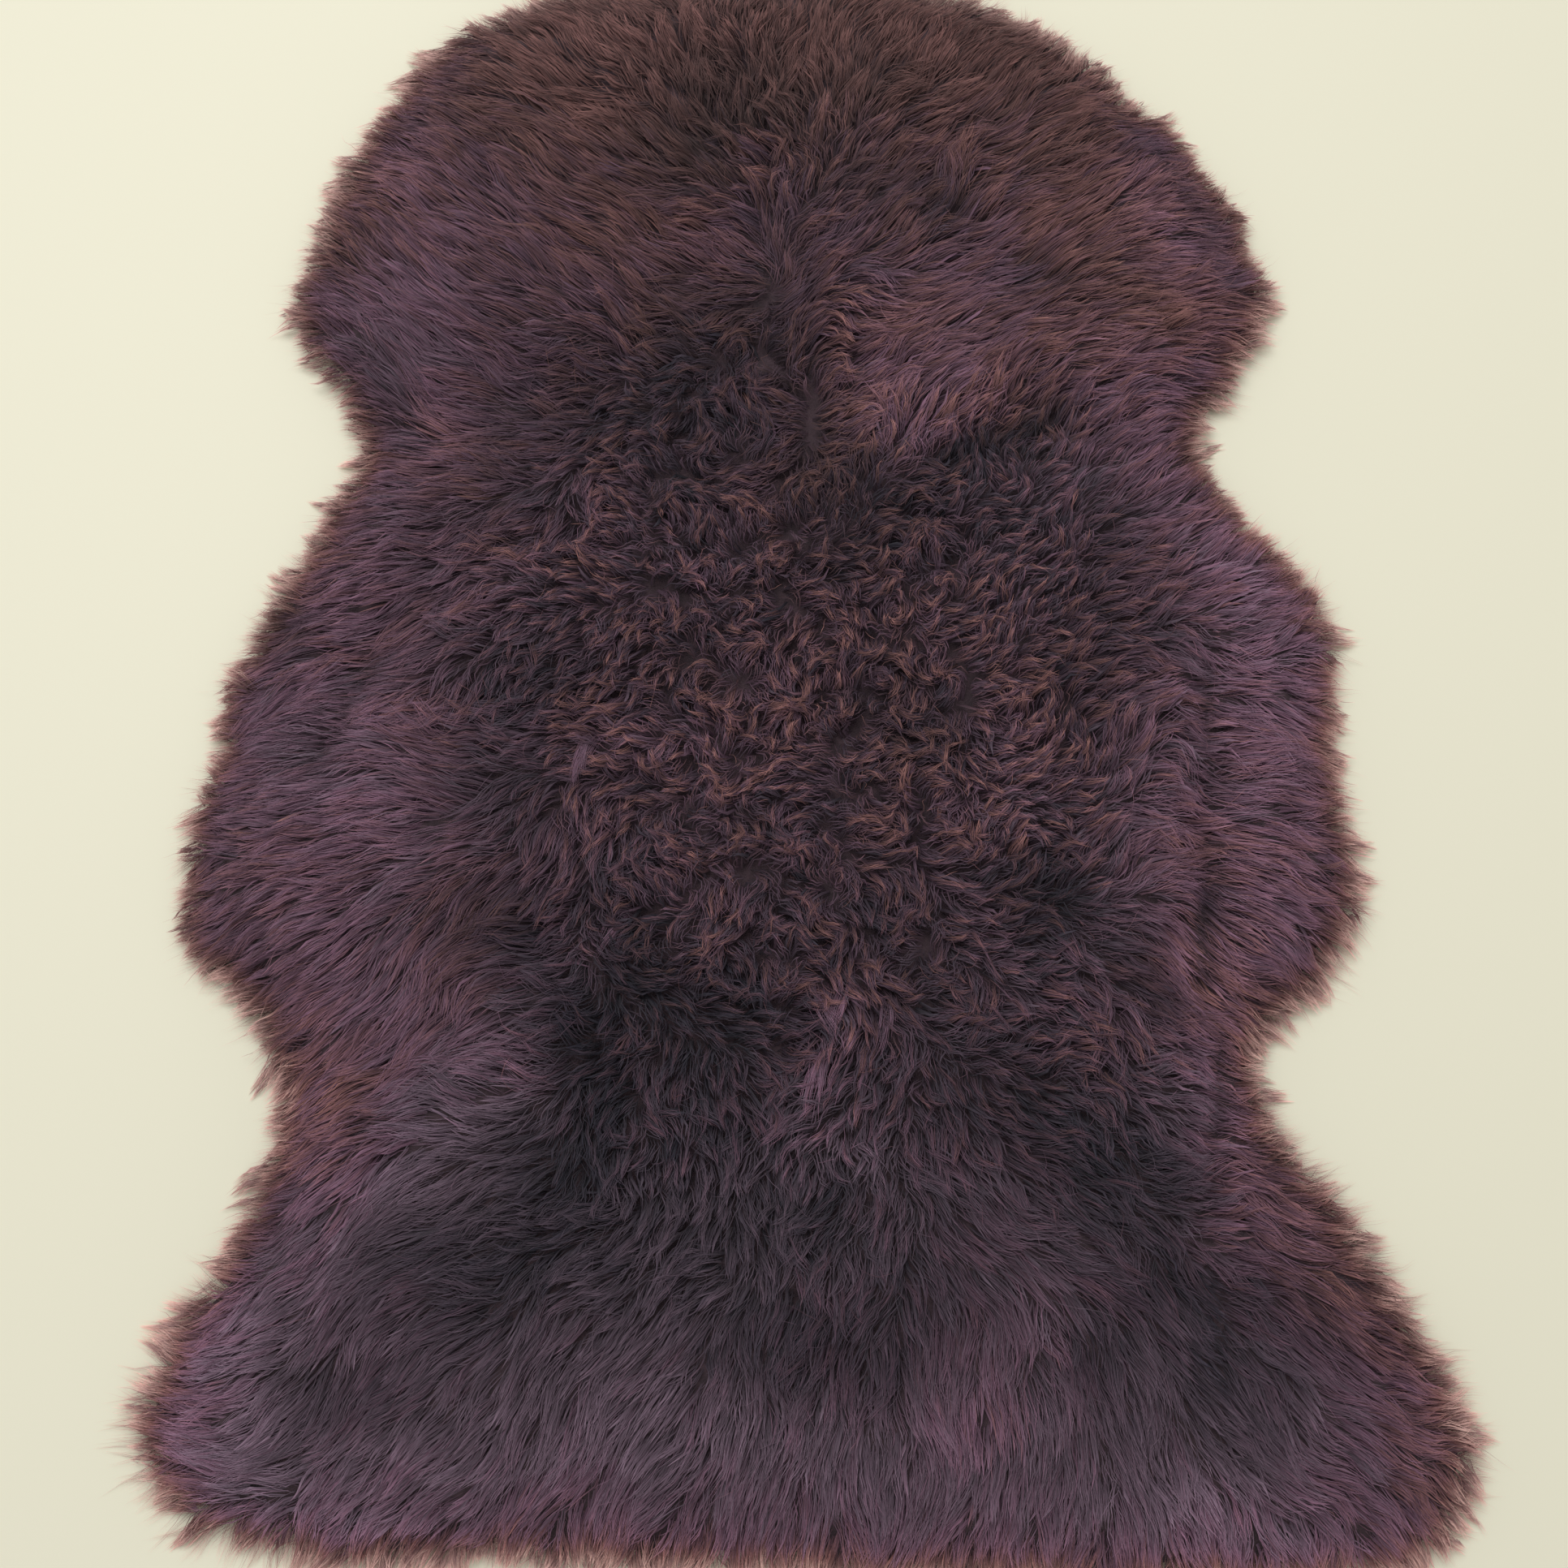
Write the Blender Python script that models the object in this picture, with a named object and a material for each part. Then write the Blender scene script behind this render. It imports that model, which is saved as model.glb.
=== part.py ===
"""A sheepskin lying flat with its wool up.

One pelt: a thin tanned hide underneath, and the wool that grows from it as a lumpy slab whose rim
breaks up into pointed locks. X runs across the skin, +Y towards the neck, +Z up. The hide's flat
flesh side lies at z = 0, and the origin is under the middle of the skin.
"""

import math
import random
from collections import namedtuple

import bmesh
import bpy
import numpy as np
from mathutils import Vector
from mathutils.geometry import delaunay_2d_cdt

MM = 0.001

# Hide
HIDE_THICKNESS = 2.2 * MM
HIDE_INSET = 32.0 * MM
HIDE_TAPER = 0.4 * MM

# Wool slab
SLAB_INSET = 19.0 * MM
RIM_HEIGHT = 16.0 * MM
RIM_UNDERSIDE = 1.6 * MM
RIM_UNEVENNESS = 3.5 * MM
PILE_HEIGHT = 34.0 * MM
SHOULDER_WIDTH = 42.0 * MM
FOLD_SHARE_AT_RIM = 0.35

# Tufts on top of the slab, one for each hexagon of a lattice
LATTICE_PITCH = 16.2 * MM
LATTICE_MARGIN = 9.5 * MM
FOOT_JITTER = 4.8 * MM
FOOT_RISE = 2.4 * MM
TIP_JITTER = 3.4 * MM
TUFT_LEAN = 7.5 * MM
TUFT_RISE_LEAST = 4.0 * MM
TUFT_RISE_MOST = 13.0 * MM
CURL_CENTRE = (0.0, -20.0 * MM)
CURL_RADIUS = 170.0 * MM

# Locks round the rim
LOCK_COUNT = 236
LOCK_WIDTH_SPREAD = 0.35
LOCK_LENGTH_LEAST = 0.76
LOCK_LENGTH_MOST = 1.20
LOCK_LAY_WEIGHT = 0.65
LOCK_SWAY_DEG = 5.0
LOCK_CLEARANCE = 0.46
LOCK_CROWN = 0.7

WOOL_COLOUR = (0.085, 0.047, 0.05)
WOOL_ROUGHNESS = 0.85
HIDE_COLOUR = (0.36, 0.25, 0.18)
HIDE_ROUGHNESS = 0.75
SHARP_ANGLE_DEG = 60

SEED = 11

Station = namedtuple("Station", "name x y")
Lay = namedtuple("Lay", "y tailward")
Fold = namedtuple("Fold", "name x0 y0 x1 y1 half_width rise")
LockRing = namedtuple("LockRing", "along width top bottom")

# The wool's edge as it lies, in millimetres, from the neck down the left side and up the right
OUTLINE = [
    Station("crown", -20, 466),
    Station("neck left", -160, 452),
    Station("brow left", -230, 407),
    Station("cheek left", -267, 346),
    Station("shoulder left", -306, 244),
    Station("armpit left", -287, 205),
    Station("waist left", -253, 156),
    Station("rib left", -277, 113),
    Station("nick left", -289, 80),
    Station("elbow left", -319, 40),
    Station("side left", -328, -18),
    Station("belly left", -341, -66),
    Station("flank left", -345, -131),
    Station("flank corner left", -310, -162),
    Station("loin left", -282, -222),
    Station("thigh left", -303, -288),
    Station("haunch left", -339, -344),
    Station("hind tip left", -355, -390),
    Station("hind corner left", -310, -436),
    Station("tail left", -235, -451),
    Station("tail", 0, -460),
    Station("tail right", 225, -464),
    Station("hind corner right", 320, -454),
    Station("hind tip right", 358, -408),
    Station("haunch right", 342, -362),
    Station("thigh right", 296, -276),
    Station("loin low right", 260, -237),
    Station("loin right", 248, -190),
    Station("flank corner right", 296, -148),
    Station("flank right", 313, -106),
    Station("belly right", 303, -60),
    Station("side right", 303, -6),
    Station("elbow right", 306, 62),
    Station("rib right", 260, 108),
    Station("waist right", 230, 160),
    Station("armpit right", 258, 192),
    Station("shoulder right", 281, 243),
    Station("cheek right", 260, 312),
    Station("brow right", 203, 384),
    Station("neck right", 111, 449),
]

# How the wool lies: outwards from the spine, and towards the tail by this share at each height
LAY_HALF_WIDTH = 330
LAY = [
    Lay(466, -1.5),
    Lay(300, -0.75),
    Lay(200, 0.0),
    Lay(50, 0.1),
    Lay(-130, 0.3),
    Lay(-260, 0.7),
    Lay(-390, 0.95),
    Lay(-464, 1.6),
]

# Troughs and swells of the wool, in millimetres: a soft trench or ridge along each line
FOLDS = [
    Fold("parting on the neck", -14, 400, -12, 250, 15, -7),
    Fold("hollow behind the neck", -70, 215, -20, 190, 36, -9),
    Fold("waist valley left", -254, 158, -110, 182, 20, -12),
    Fold("waist valley right", 128, 176, 228, 166, 17, -16),
    Fold("shoulder swell", 22, 236, 112, 170, 30, 8),
    Fold("neck swell left", -190, 330, -110, 400, 55, 5),
    Fold("neck swell right", 110, 400, 195, 300, 55, 5),
    Fold("crease above the elbow", -196, 76, -240, 34, 14, -12),
    Fold("crease along the side", -240, 34, -274, -30, 13, -11),
    Fold("groove along the right side", 238, 120, 222, -150, 11, -15),
    Fold("groove at the right loin", 226, -188, 226, -254, 11, -13),
    Fold("crease in the right haunch", 228, -256, 258, -322, 13, -12),
    Fold("crease to the tail", 258, -322, 244, -392, 15, -10),
    Fold("swell of the back", -30, 90, 30, -110, 95, 5),
    Fold("basin over the rump", -96, -178, -20, -345, 52, -11),
    Fold("rump edge", -136, -150, -140, -235, 22, 8),
    Fold("swell of the left thigh", -150, -176, -256, -272, 38, 6),
    Fold("pit of the left haunch", -236, -369, -228, -350, 22, -9),
    Fold("swell of the right thigh", 70, -200, 170, -330, 45, 6),
]

# A lock's sections from its root: share of its length, share of the root's width, and its top and
# underside as shares of the root's. Its outer third and its point rest on the surface.
LOCK_RINGS = [
    LockRing(0.36, 1.00, 0.80, 0.4),
    LockRing(0.70, 0.66, 0.46, 0.0),
]


def closed_curve(stations, steps=14):
    """Points of a smooth closed curve through the stations, in metres."""
    knots = np.array([(row.x, row.y) for row in stations], float) * MM
    points = []
    for index in range(len(knots)):
        before, start, end, after = (knots[(index + shift) % len(knots)] for shift in (-1, 0, 1, 2))
        for t in np.arange(steps) / steps:
            points.append(
                0.5
                * (
                    2 * start
                    + (end - before) * t
                    + (2 * before - 5 * start + 4 * end - after) * t**2
                    + (3 * start - before - 3 * end + after) * t**3
                )
            )
    return np.array(points)


def loop_at(points, shares):
    """Points of the closed loop at these shares of its length."""
    closed = np.vstack([points, points[:1]])
    lengths = np.linalg.norm(np.diff(closed, axis=0), axis=1)
    along = np.concatenate([[0.0], np.cumsum(lengths)])
    wanted = shares * along[-1]
    return np.column_stack([np.interp(wanted, along, closed[:, axis]) for axis in (0, 1)])


def even_loop(points, count):
    """The closed loop again, as so many points at equal spacing."""
    return loop_at(points, np.arange(count) / count)


def outward_normals(loop):
    """Unit normals of an anticlockwise loop, pointing out of it."""
    along = np.roll(loop, -1, axis=0) - np.roll(loop, 1, axis=0)
    normals = np.column_stack([along[:, 1], -along[:, 0]])
    return normals / np.linalg.norm(normals, axis=1, keepdims=True)


def inset(loop, distance, steps=12):
    """The loop moved inwards in small steps and eased at each, so that tight lobes don't cross."""
    for _ in range(steps):
        loop = loop - outward_normals(loop) * distance / steps
        loop = 0.5 * loop + 0.25 * (np.roll(loop, 1, axis=0) + np.roll(loop, -1, axis=0))
    return loop


def distance_to_loop(points, loop):
    """How far each point is from the nearest edge of the loop."""
    start = loop[None, :, :]
    edge = (np.roll(loop, -1, axis=0) - loop)[None, :, :]
    share = ((points[:, None, :] - start) * edge).sum(2) / (edge**2).sum(2)
    nearest = start + np.clip(share, 0, 1)[:, :, None] * edge
    return np.linalg.norm(points[:, None, :] - nearest, axis=2).min(axis=1)


def inside_loop(points, loop):
    """Whether each point is inside the loop, by counting the edges to its right."""
    inside = np.zeros(len(points), bool)
    for (x0, y0), (x1, y1) in zip(loop, np.roll(loop, -1, axis=0)):
        crosses = (y0 > points[:, 1]) != (y1 > points[:, 1])
        with np.errstate(divide="ignore", invalid="ignore"):
            meets = x0 + (points[:, 1] - y0) * (x1 - x0) / (y1 - y0)
        inside ^= crosses & (points[:, 0] < meets)
    return inside


def lay_direction(points):
    """The way that the wool lies at each point, as unit vectors."""
    heights = [row.y * MM for row in LAY][::-1]
    shares = [row.tailward for row in LAY][::-1]
    across = points[:, 0] / (LAY_HALF_WIDTH * MM)
    tailward = np.interp(points[:, 1], heights, shares)
    field = np.column_stack([across, -tailward])
    return field / np.maximum(np.linalg.norm(field, axis=1, keepdims=True), 1e-6)


def fold_rise(points):
    """How much the folds lift or sink the wool at each point."""
    total = np.zeros(len(points))
    for fold in FOLDS:
        start = np.array([fold.x0, fold.y0]) * MM
        run = np.array([fold.x1, fold.y1]) * MM - start
        share = np.clip((points - start) @ run / (run @ run), 0, 1)
        away = np.linalg.norm(points - start - share[:, None] * run, axis=1)
        total += fold.rise * MM * np.exp(-0.5 * (away / (fold.half_width * MM)) ** 2)
    return total


def slab_height(points, rim):
    """Height of the slab's top before its tufts: low at the rim, full a shoulder's width inside."""
    share = np.clip(distance_to_loop(points, rim) / SHOULDER_WIDTH, 0, 1)
    shoulder = RIM_HEIGHT + (PILE_HEIGHT - RIM_HEIGHT) * np.sin(share * math.pi / 2)
    return shoulder + fold_rise(points) * (FOLD_SHARE_AT_RIM + (1 - FOLD_SHARE_AT_RIM) * share)


def lattice(rim):
    """Points of a hexagonal lattice inside the rim, and which of them are the tufts' tips."""
    low = rim.min(axis=0)
    high = rim.max(axis=0)
    row_pitch = LATTICE_PITCH * math.sqrt(3) / 2
    points = []
    tips = []
    for row in range(int((high[1] - low[1]) / row_pitch) + 1):
        for column in range(int((high[0] - low[0]) / LATTICE_PITCH) + 2):
            x = low[0] + (column + 0.5 * (row % 2)) * LATTICE_PITCH
            points.append((x, low[1] + row * row_pitch))
            # Every third point of a row is a tuft's tip, and each second row is shifted to match.
            tips.append((column + 2 * (row % 2)) % 3 == 0)
    points = np.array(points)
    tips = np.array(tips)
    kept = inside_loop(points, rim) & (distance_to_loop(points, rim) > LATTICE_MARGIN)
    return points[kept], tips[kept]


def slab_top(rim, chance):
    """Vertices and triangles of the slab's lumpy top. The rim's points come first."""
    inner, tips = lattice(rim)
    count = len(rim)
    flat = [Vector(point) for point in np.vstack([rim, inner])]
    flat, _, triangles, _, _, _ = delaunay_2d_cdt(flat, [], [list(range(count))], 1, 1e-6)
    flat = np.array([tuple(point) for point in flat])

    jitter = np.array([(chance.uniform(-1, 1), chance.uniform(-1, 1)) for _ in inner])
    jitter *= np.where(tips, TIP_JITTER, FOOT_JITTER)[:, None]
    tip_lift = np.array([chance.uniform(TUFT_RISE_LEAST, TUFT_RISE_MOST) for _ in inner])
    foot_lift = np.array([chance.uniform(-FOOT_RISE, FOOT_RISE) for _ in inner])
    turn = np.array([chance.uniform(-math.pi, math.pi) for _ in inner])
    lean = lay_direction(inner)
    # On the back the tufts are short and curly and lean every way; further out they follow the lay.
    from_centre = np.linalg.norm(inner - CURL_CENTRE, axis=1)
    curl = np.exp(-((from_centre / CURL_RADIUS) ** 4))[:, None]
    lean = lean * (1 - curl) + np.column_stack([np.cos(turn), np.sin(turn)]) * curl
    moved = inner + jitter + np.where(tips[:, None], lean * TUFT_LEAN, 0.0)

    rim_heights = [RIM_HEIGHT + chance.uniform(-RIM_UNEVENNESS, RIM_UNEVENNESS) for _ in rim]
    inner_heights = slab_height(inner, rim) + np.where(tips, tip_lift, foot_lift)
    flat[count:] = moved
    return np.column_stack([flat, np.concatenate([rim_heights, inner_heights])]), triangles


def reach_of(point, direction, edge):
    """Distance from the point along the direction to the wool's edge."""
    start = edge - point
    run = np.roll(edge, -1, axis=0) - edge
    cross = direction[0] * run[:, 1] - direction[1] * run[:, 0]
    cross = np.where(np.abs(cross) < 1e-12, 1e-12, cross)
    ahead = (start[:, 0] * run[:, 1] - start[:, 1] * run[:, 0]) / cross
    share = (start[:, 0] * direction[1] - start[:, 1] * direction[0]) / cross
    hits = ahead[(ahead > 0) & (share >= 0) & (share <= 1)]
    return hits.min() if len(hits) else SLAB_INSET


def lock_axes(rim, edge, chance):
    """Root, direction and length of each rim lock: out of the slab, turned towards the wool's lay."""
    runs = np.roll(rim, -1, axis=0) - rim
    roots = rim + runs / 2
    normals = np.column_stack([runs[:, 1], -runs[:, 0]])
    normals /= np.linalg.norm(normals, axis=1, keepdims=True)
    field = normals + LOCK_LAY_WEIGHT * lay_direction(roots)
    for _ in range(3):
        field = (field + np.roll(field, 1, axis=0) + np.roll(field, -1, axis=0)) / 3
    bearing = np.arctan2(field[:, 1], field[:, 0])
    bearing += np.radians([chance.uniform(-LOCK_SWAY_DEG, LOCK_SWAY_DEG) for _ in rim])
    directions = np.column_stack([np.cos(bearing), np.sin(bearing)])
    lengths = np.array(
        [
            reach_of(root, direction, edge) * chance.uniform(LOCK_LENGTH_LEAST, LOCK_LENGTH_MOST)
            for root, direction in zip(roots, directions)
        ]
    )
    return roots, directions, lengths


def room_beside(index, distance, roots, directions):
    """Distance from a lock's axis to its nearer neighbour's, this far out from their roots."""
    axes = roots + directions * distance
    count = len(roots)
    return min(np.linalg.norm(axes[index] - axes[(index + step) % count]) for step in (-1, 1))


def add_lock(mesh, corners, axes, index):
    """A four-sided lock out of one wall face, drooping until its point rests on the surface."""
    roots, directions, lengths = axes
    lower_start, lower_end, upper_end, upper_start = corners
    middle = Vector((*roots[index], 0.0))
    half_run = (lower_end.co - lower_start.co) / 2
    top = (upper_start.co.z + upper_end.co.z) / 2
    outward = Vector((*directions[index], 0.0))
    ring = [lower_start, lower_end, upper_end, upper_start]
    for section in LOCK_RINGS:
        distance = lengths[index] * section.along
        centre = middle + outward * distance
        room = room_beside(index, distance, roots, directions) * LOCK_CLEARANCE
        side = half_run * min(section.width, room / half_run.length)
        low = RIM_UNDERSIDE * section.bottom
        high = top * section.top
        following = [
            mesh.verts.new((*(centre - side).xy, low)),
            mesh.verts.new((*(centre + side).xy, low)),
            mesh.verts.new((*(centre + side * LOCK_CROWN).xy, high)),
            mesh.verts.new((*(centre - side * LOCK_CROWN).xy, high)),
        ]
        for corner in range(4):
            after = (corner + 1) % 4
            mesh.faces.new((ring[corner], ring[after], following[after], following[corner]))
        ring = following
    tip = mesh.verts.new((*(middle + outward * lengths[index]).xy, 0.0))
    for corner in range(4):
        mesh.faces.new((ring[corner], ring[(corner + 1) % 4], tip))


def principled(name, colour, roughness):
    material = bpy.data.materials.new(name)
    material.use_nodes = True
    shader = material.node_tree.nodes["Principled BSDF"]
    shader.inputs["Base Color"].default_value = (*colour, 1.0)
    shader.inputs["Roughness"].default_value = roughness
    shader.inputs["Metallic"].default_value = 0.0
    material.diffuse_color = (*colour, 1.0)
    return material


def build_pelt():
    chance = random.Random(SEED)
    edge = closed_curve(OUTLINE)
    uneven = [1 + chance.uniform(-LOCK_WIDTH_SPREAD, LOCK_WIDTH_SPREAD) for _ in range(LOCK_COUNT)]
    shares = np.cumsum([0.0, *uneven[:-1]]) / sum(uneven)
    rim = loop_at(inset(even_loop(edge, LOCK_COUNT), SLAB_INSET), shares)
    hide = inset(rim, HIDE_INSET - SLAB_INSET, steps=6)
    hide_upper = inset(hide, HIDE_TAPER, steps=1)

    mesh = bmesh.new()
    top_points, top_triangles = slab_top(rim, chance)
    top = [mesh.verts.new(point) for point in top_points]
    for triangle in top_triangles:
        mesh.faces.new([top[index] for index in triangle])

    # Underside, from the flat flesh side out to the foot of the rim
    sole = [mesh.verts.new((*point, 0.0)) for point in hide]
    shelf = [mesh.verts.new((*point, HIDE_THICKNESS)) for point in hide_upper]
    foot = [mesh.verts.new((*point, RIM_UNDERSIDE)) for point in rim]
    flesh_side = mesh.faces.new(sole[::-1])
    flesh_side.material_index = 1
    count = len(rim)
    for index in range(count):
        after = (index + 1) % count
        wall = mesh.faces.new((sole[index], sole[after], shelf[after], shelf[index]))
        wall.material_index = 1
        mesh.faces.new((shelf[index], shelf[after], foot[after], foot[index]))

    axes = lock_axes(rim, edge, chance)
    for index in range(count):
        after = (index + 1) % count
        add_lock(mesh, (foot[index], foot[after], top[after], top[index]), axes, index)

    data = bpy.data.meshes.new("pelt")
    mesh.to_mesh(data)
    mesh.free()
    data.materials.append(principled("brown wool", WOOL_COLOUR, WOOL_ROUGHNESS))
    data.materials.append(principled("tanned hide", HIDE_COLOUR, HIDE_ROUGHNESS))
    data.shade_smooth()
    data.set_sharp_from_angle(angle=math.radians(SHARP_ANGLE_DEG))
    pelt = bpy.data.objects.new("pelt", data)
    bpy.context.scene.collection.objects.link(pelt)
    return pelt


def centre_on_origin(pelt):
    """Moves the mesh so that the middle of its box lies over the origin."""
    points = [vertex.co for vertex in pelt.data.vertices]
    middle_x = (min(point.x for point in points) + max(point.x for point in points)) / 2
    middle_y = (min(point.y for point in points) + max(point.y for point in points)) / 2
    for vertex in pelt.data.vertices:
        vertex.co -= Vector((middle_x, middle_y, 0.0))


for thing in list(bpy.data.objects):
    bpy.data.objects.remove(thing)

centre_on_origin(build_pelt())
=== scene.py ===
"""The look of a dark brown sheepskin lying flat on a pale floor, its wool up.

A thin tanned hide, an undercoat that closes the wool from below, and the wool itself as locks of
strands combed over the pelt's own height. X runs across the skin, +Y towards the neck, +Z up, metres.
"""

import math
from collections import namedtuple

import bmesh
import bpy
import numpy as np
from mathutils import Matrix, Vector
from mathutils.bvhtree import BVHTree
from mathutils.kdtree import KDTree


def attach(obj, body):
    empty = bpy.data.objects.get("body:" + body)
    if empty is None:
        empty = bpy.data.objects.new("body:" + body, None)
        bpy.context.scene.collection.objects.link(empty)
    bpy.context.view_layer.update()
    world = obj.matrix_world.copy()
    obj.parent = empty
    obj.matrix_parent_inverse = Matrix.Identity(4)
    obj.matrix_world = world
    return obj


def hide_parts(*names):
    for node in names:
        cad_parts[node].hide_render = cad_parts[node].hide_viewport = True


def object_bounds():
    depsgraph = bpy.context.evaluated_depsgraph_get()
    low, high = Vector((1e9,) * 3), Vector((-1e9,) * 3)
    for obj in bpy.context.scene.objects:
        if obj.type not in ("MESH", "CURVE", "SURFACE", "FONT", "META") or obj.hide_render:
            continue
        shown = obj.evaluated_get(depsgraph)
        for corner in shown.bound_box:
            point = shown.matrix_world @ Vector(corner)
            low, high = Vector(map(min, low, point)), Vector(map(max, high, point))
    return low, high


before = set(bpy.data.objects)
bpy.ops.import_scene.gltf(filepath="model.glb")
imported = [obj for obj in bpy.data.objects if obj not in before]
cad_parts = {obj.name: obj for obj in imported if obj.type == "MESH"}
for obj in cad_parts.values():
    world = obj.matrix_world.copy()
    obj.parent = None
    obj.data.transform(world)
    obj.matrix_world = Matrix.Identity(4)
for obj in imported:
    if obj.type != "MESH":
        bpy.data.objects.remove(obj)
cad_low, cad_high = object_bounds()
PLAN_LOW, PLAN_HIGH = np.array(cad_low[:2]), np.array(cad_high[:2])

MM = 0.001
SEED = 7

# The map of the pelt's height, and how far past the pelt each grid reaches
CELL = 2.5 * MM
HEIGHT_BLUR = 9.0 * MM
EDGE_BLUR = 5.0 * MM
MAP_MARGIN = 45 * MM
NOISE_MARGIN = 0.1
STRAND_MARGIN = 0.02

# Hide and undercoat
HIDE_CELL = 14 * MM
HIDE_INSET = 20 * MM
HIDE_THICKNESS = 2.2 * MM
UNDERCOAT_CELL = 6.0 * MM
UNDERCOAT_INSET = 4 * MM
UNDERCOAT_DEPTH = 6.0 * MM
UNDERCOAT_FLOOR = 2.6 * MM
UNDERCOAT_LEAST = 1.0 * MM
UNDERCOAT_RUMPLE = 0.9 * MM

# Locks and strands
STEPS = 8
ALONG = np.linspace(0, 1, STEPS + 1)[None]
PER_WISP = 8
RIM_WIDTH = 24 * MM
OVERHANG = 12 * MM
TUFT_INSET = 14 * MM
DROOP_END = 14 * MM
LEAN_AT_RIM = 0.55
DOME_REACH = 8 * MM
CREST_REACH = 7 * MM
MOST_PAST = 27 * MM
FRIZZ = 1.0 * MM
LEAST_CLEARANCE = 0.3 * MM
MOST_TRIANGLES = 190_000
NORMAL_SPREAD = math.radians(38)
NORMAL_LIFT = 0.5

# Tones run from dark to light, partly the wool's own and partly painted shade and light, and warmth from
# ashen by mauve and brown to the pink of the rim, a painted glow
TONES = 48
WARMS = 9
MAUVE_AT = 0.25
BROWN_AT = 0.6
# The rim is painted lighter and pinker: a painted glow of light through its thin hair
RIM_PAINTED_LIGHT = 0.52
RIM_PAINTED_GLOW = 0.58
# How much of the painted shade and light of SHADES each lock takes, and each point of a strand again
SHADE_SHARE = 0.5
# Lighter tones turn browner and darker ones more ashen, so painted light and shade shift the hue too
WARM_BY_TONE = 0.35
WARP = 5
CREASE_WARP = 2.5
LOOKS = ("tone", "warm", "along", "across")

Stroke = namedtuple("Stroke", "x0 y0 x1 y1 half_width amount")
Cut = namedtuple(
    "Cut", "name per_lock width depth crest spread start past tightness tone segments", defaults=[3]
)


def rows_of(places):
    """The rows of all the places."""
    return [row for rows in places.values() for row in rows]


def strokes(places):
    """The strokes of all the places: from x, y to x, y and the half width in millimetres, then the amount."""
    return [Stroke(*row) for row in rows_of(places)]


def mm(*values):
    """Millimetres as metres."""
    return tuple(value * MM for value in values)


# All these tables were placed one by one, looking at the photograph. Left is towards -X.

# Which way the wool is combed: at x, y in millimetres, heading in degrees from +X towards +Y, reach
COMBS = rows_of({
    "crown": [(-10, 440, 92, 34), (-100, 430, 135, 45), (75, 430, 52, 45)],
    "brow": [(-190, 385, 150, 50), (160, 390, 38, 50)],
    "above the parting": [(-10, 360, 95, 26)],
    "neck": [(-110, 340, 152, 45), (75, 340, 42, 40)],
    "cheek": [(-235, 300, 150, 50), (215, 300, 25, 50)],
    "parting": [(-62, 275, 143, 28), (28, 270, 45, 24)],
    "nape": [(-150, 245, 150, 40), (130, 255, 28, 36)],
    "shoulder": [(-255, 235, 150, 45), (235, 235, 8, 45)],
    "above the swell": [(85, 215, 34, 26)],
    "shoulder swell": [(55, 172, 52, 26)],
    "armpit": [(-215, 180, 160, 30), (205, 190, 8, 30)],
    "hollow": [(-120, 190, 195, 32), (120, 150, 38, 22)],
    "waist": [(-215, 120, 172, 40), (200, 120, 30, 36)],
    "elbow": [(-270, 55, 165, 36), (270, 70, 35, 36)],
    "ribs": [(-190, 60, 187, 45), (160, 50, 35, 40)],
    "side": [(-270, -20, 190, 50), (260, 0, 5, 45)],
    "belly": [(-260, -90, 205, 50), (270, -80, 350, 40)],
    "loin": [(-150, -50, 195, 45), (150, -60, 12, 40)],
    "flank": [(-300, -130, 212, 40), (280, -125, 325, 36)],
    "hip": [(-180, -150, 212, 40), (160, -150, 318, 40)],
    "croup": [(-225, -220, 222, 42), (210, -220, 335, 36)],
    "basin": [(-85, -152, 335, 22), (-108, -222, 345, 20), (-44, -200, 300, 26)],
    "mauve lock": [(22, -190, 260, 24)],
    "thigh": [(-240, -290, 205, 40), (250, -290, 335, 40)],
    "rump": [(-130, -270, 200, 40), (-20, -280, 258, 45), (120, -280, 305, 40)],
    "haunch": [(-310, -360, 185, 36), (310, -370, 350, 36)],
    "inner haunch": [(-210, -360, 228, 34), (200, -360, 285, 36)],
    "hind corner": [(-310, -430, 205, 30), (320, -440, 318, 30)],
    "tail": [
        (-200, -430, 232, 36), (-100, -400, 250, 45), (0, -420, 262, 50), (110, -410, 268, 45),
        (220, -440, 296, 36),
    ],
})

# Where the wool is curly and tangled, from 0 combed to 1 tangled
TANGLES = strokes({
    "crown": [(-66, 385, -25, 310, 30, 0.4)],
    "crown right": [(40, 340, 70, 300, 26, 0.4)],
    "parting": [(-25, 400, 15, 235, 18, 0.35)],
    "hollow right": [(100, 138, 150, 160, 20, 0.5)],
    "behind the neck": [(-95, 190, 0, 200, 30, 0.6)],
    "withers": [(-70, 110, 100, 95, 48, 0.8)],
    "back": [(-110, 25, 120, 5, 62, 0.85)],
    "loins": [(-80, -95, 110, -90, 46, 0.75)],
    "basin": [(-80, -185, 130, -195, 46, 0.75)],
    "rump": [(-100, -270, 10, -290, 42, 0.5)],
    "haunch right": [(150, -260, 200, -290, 35, 0.3)],
})

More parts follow.
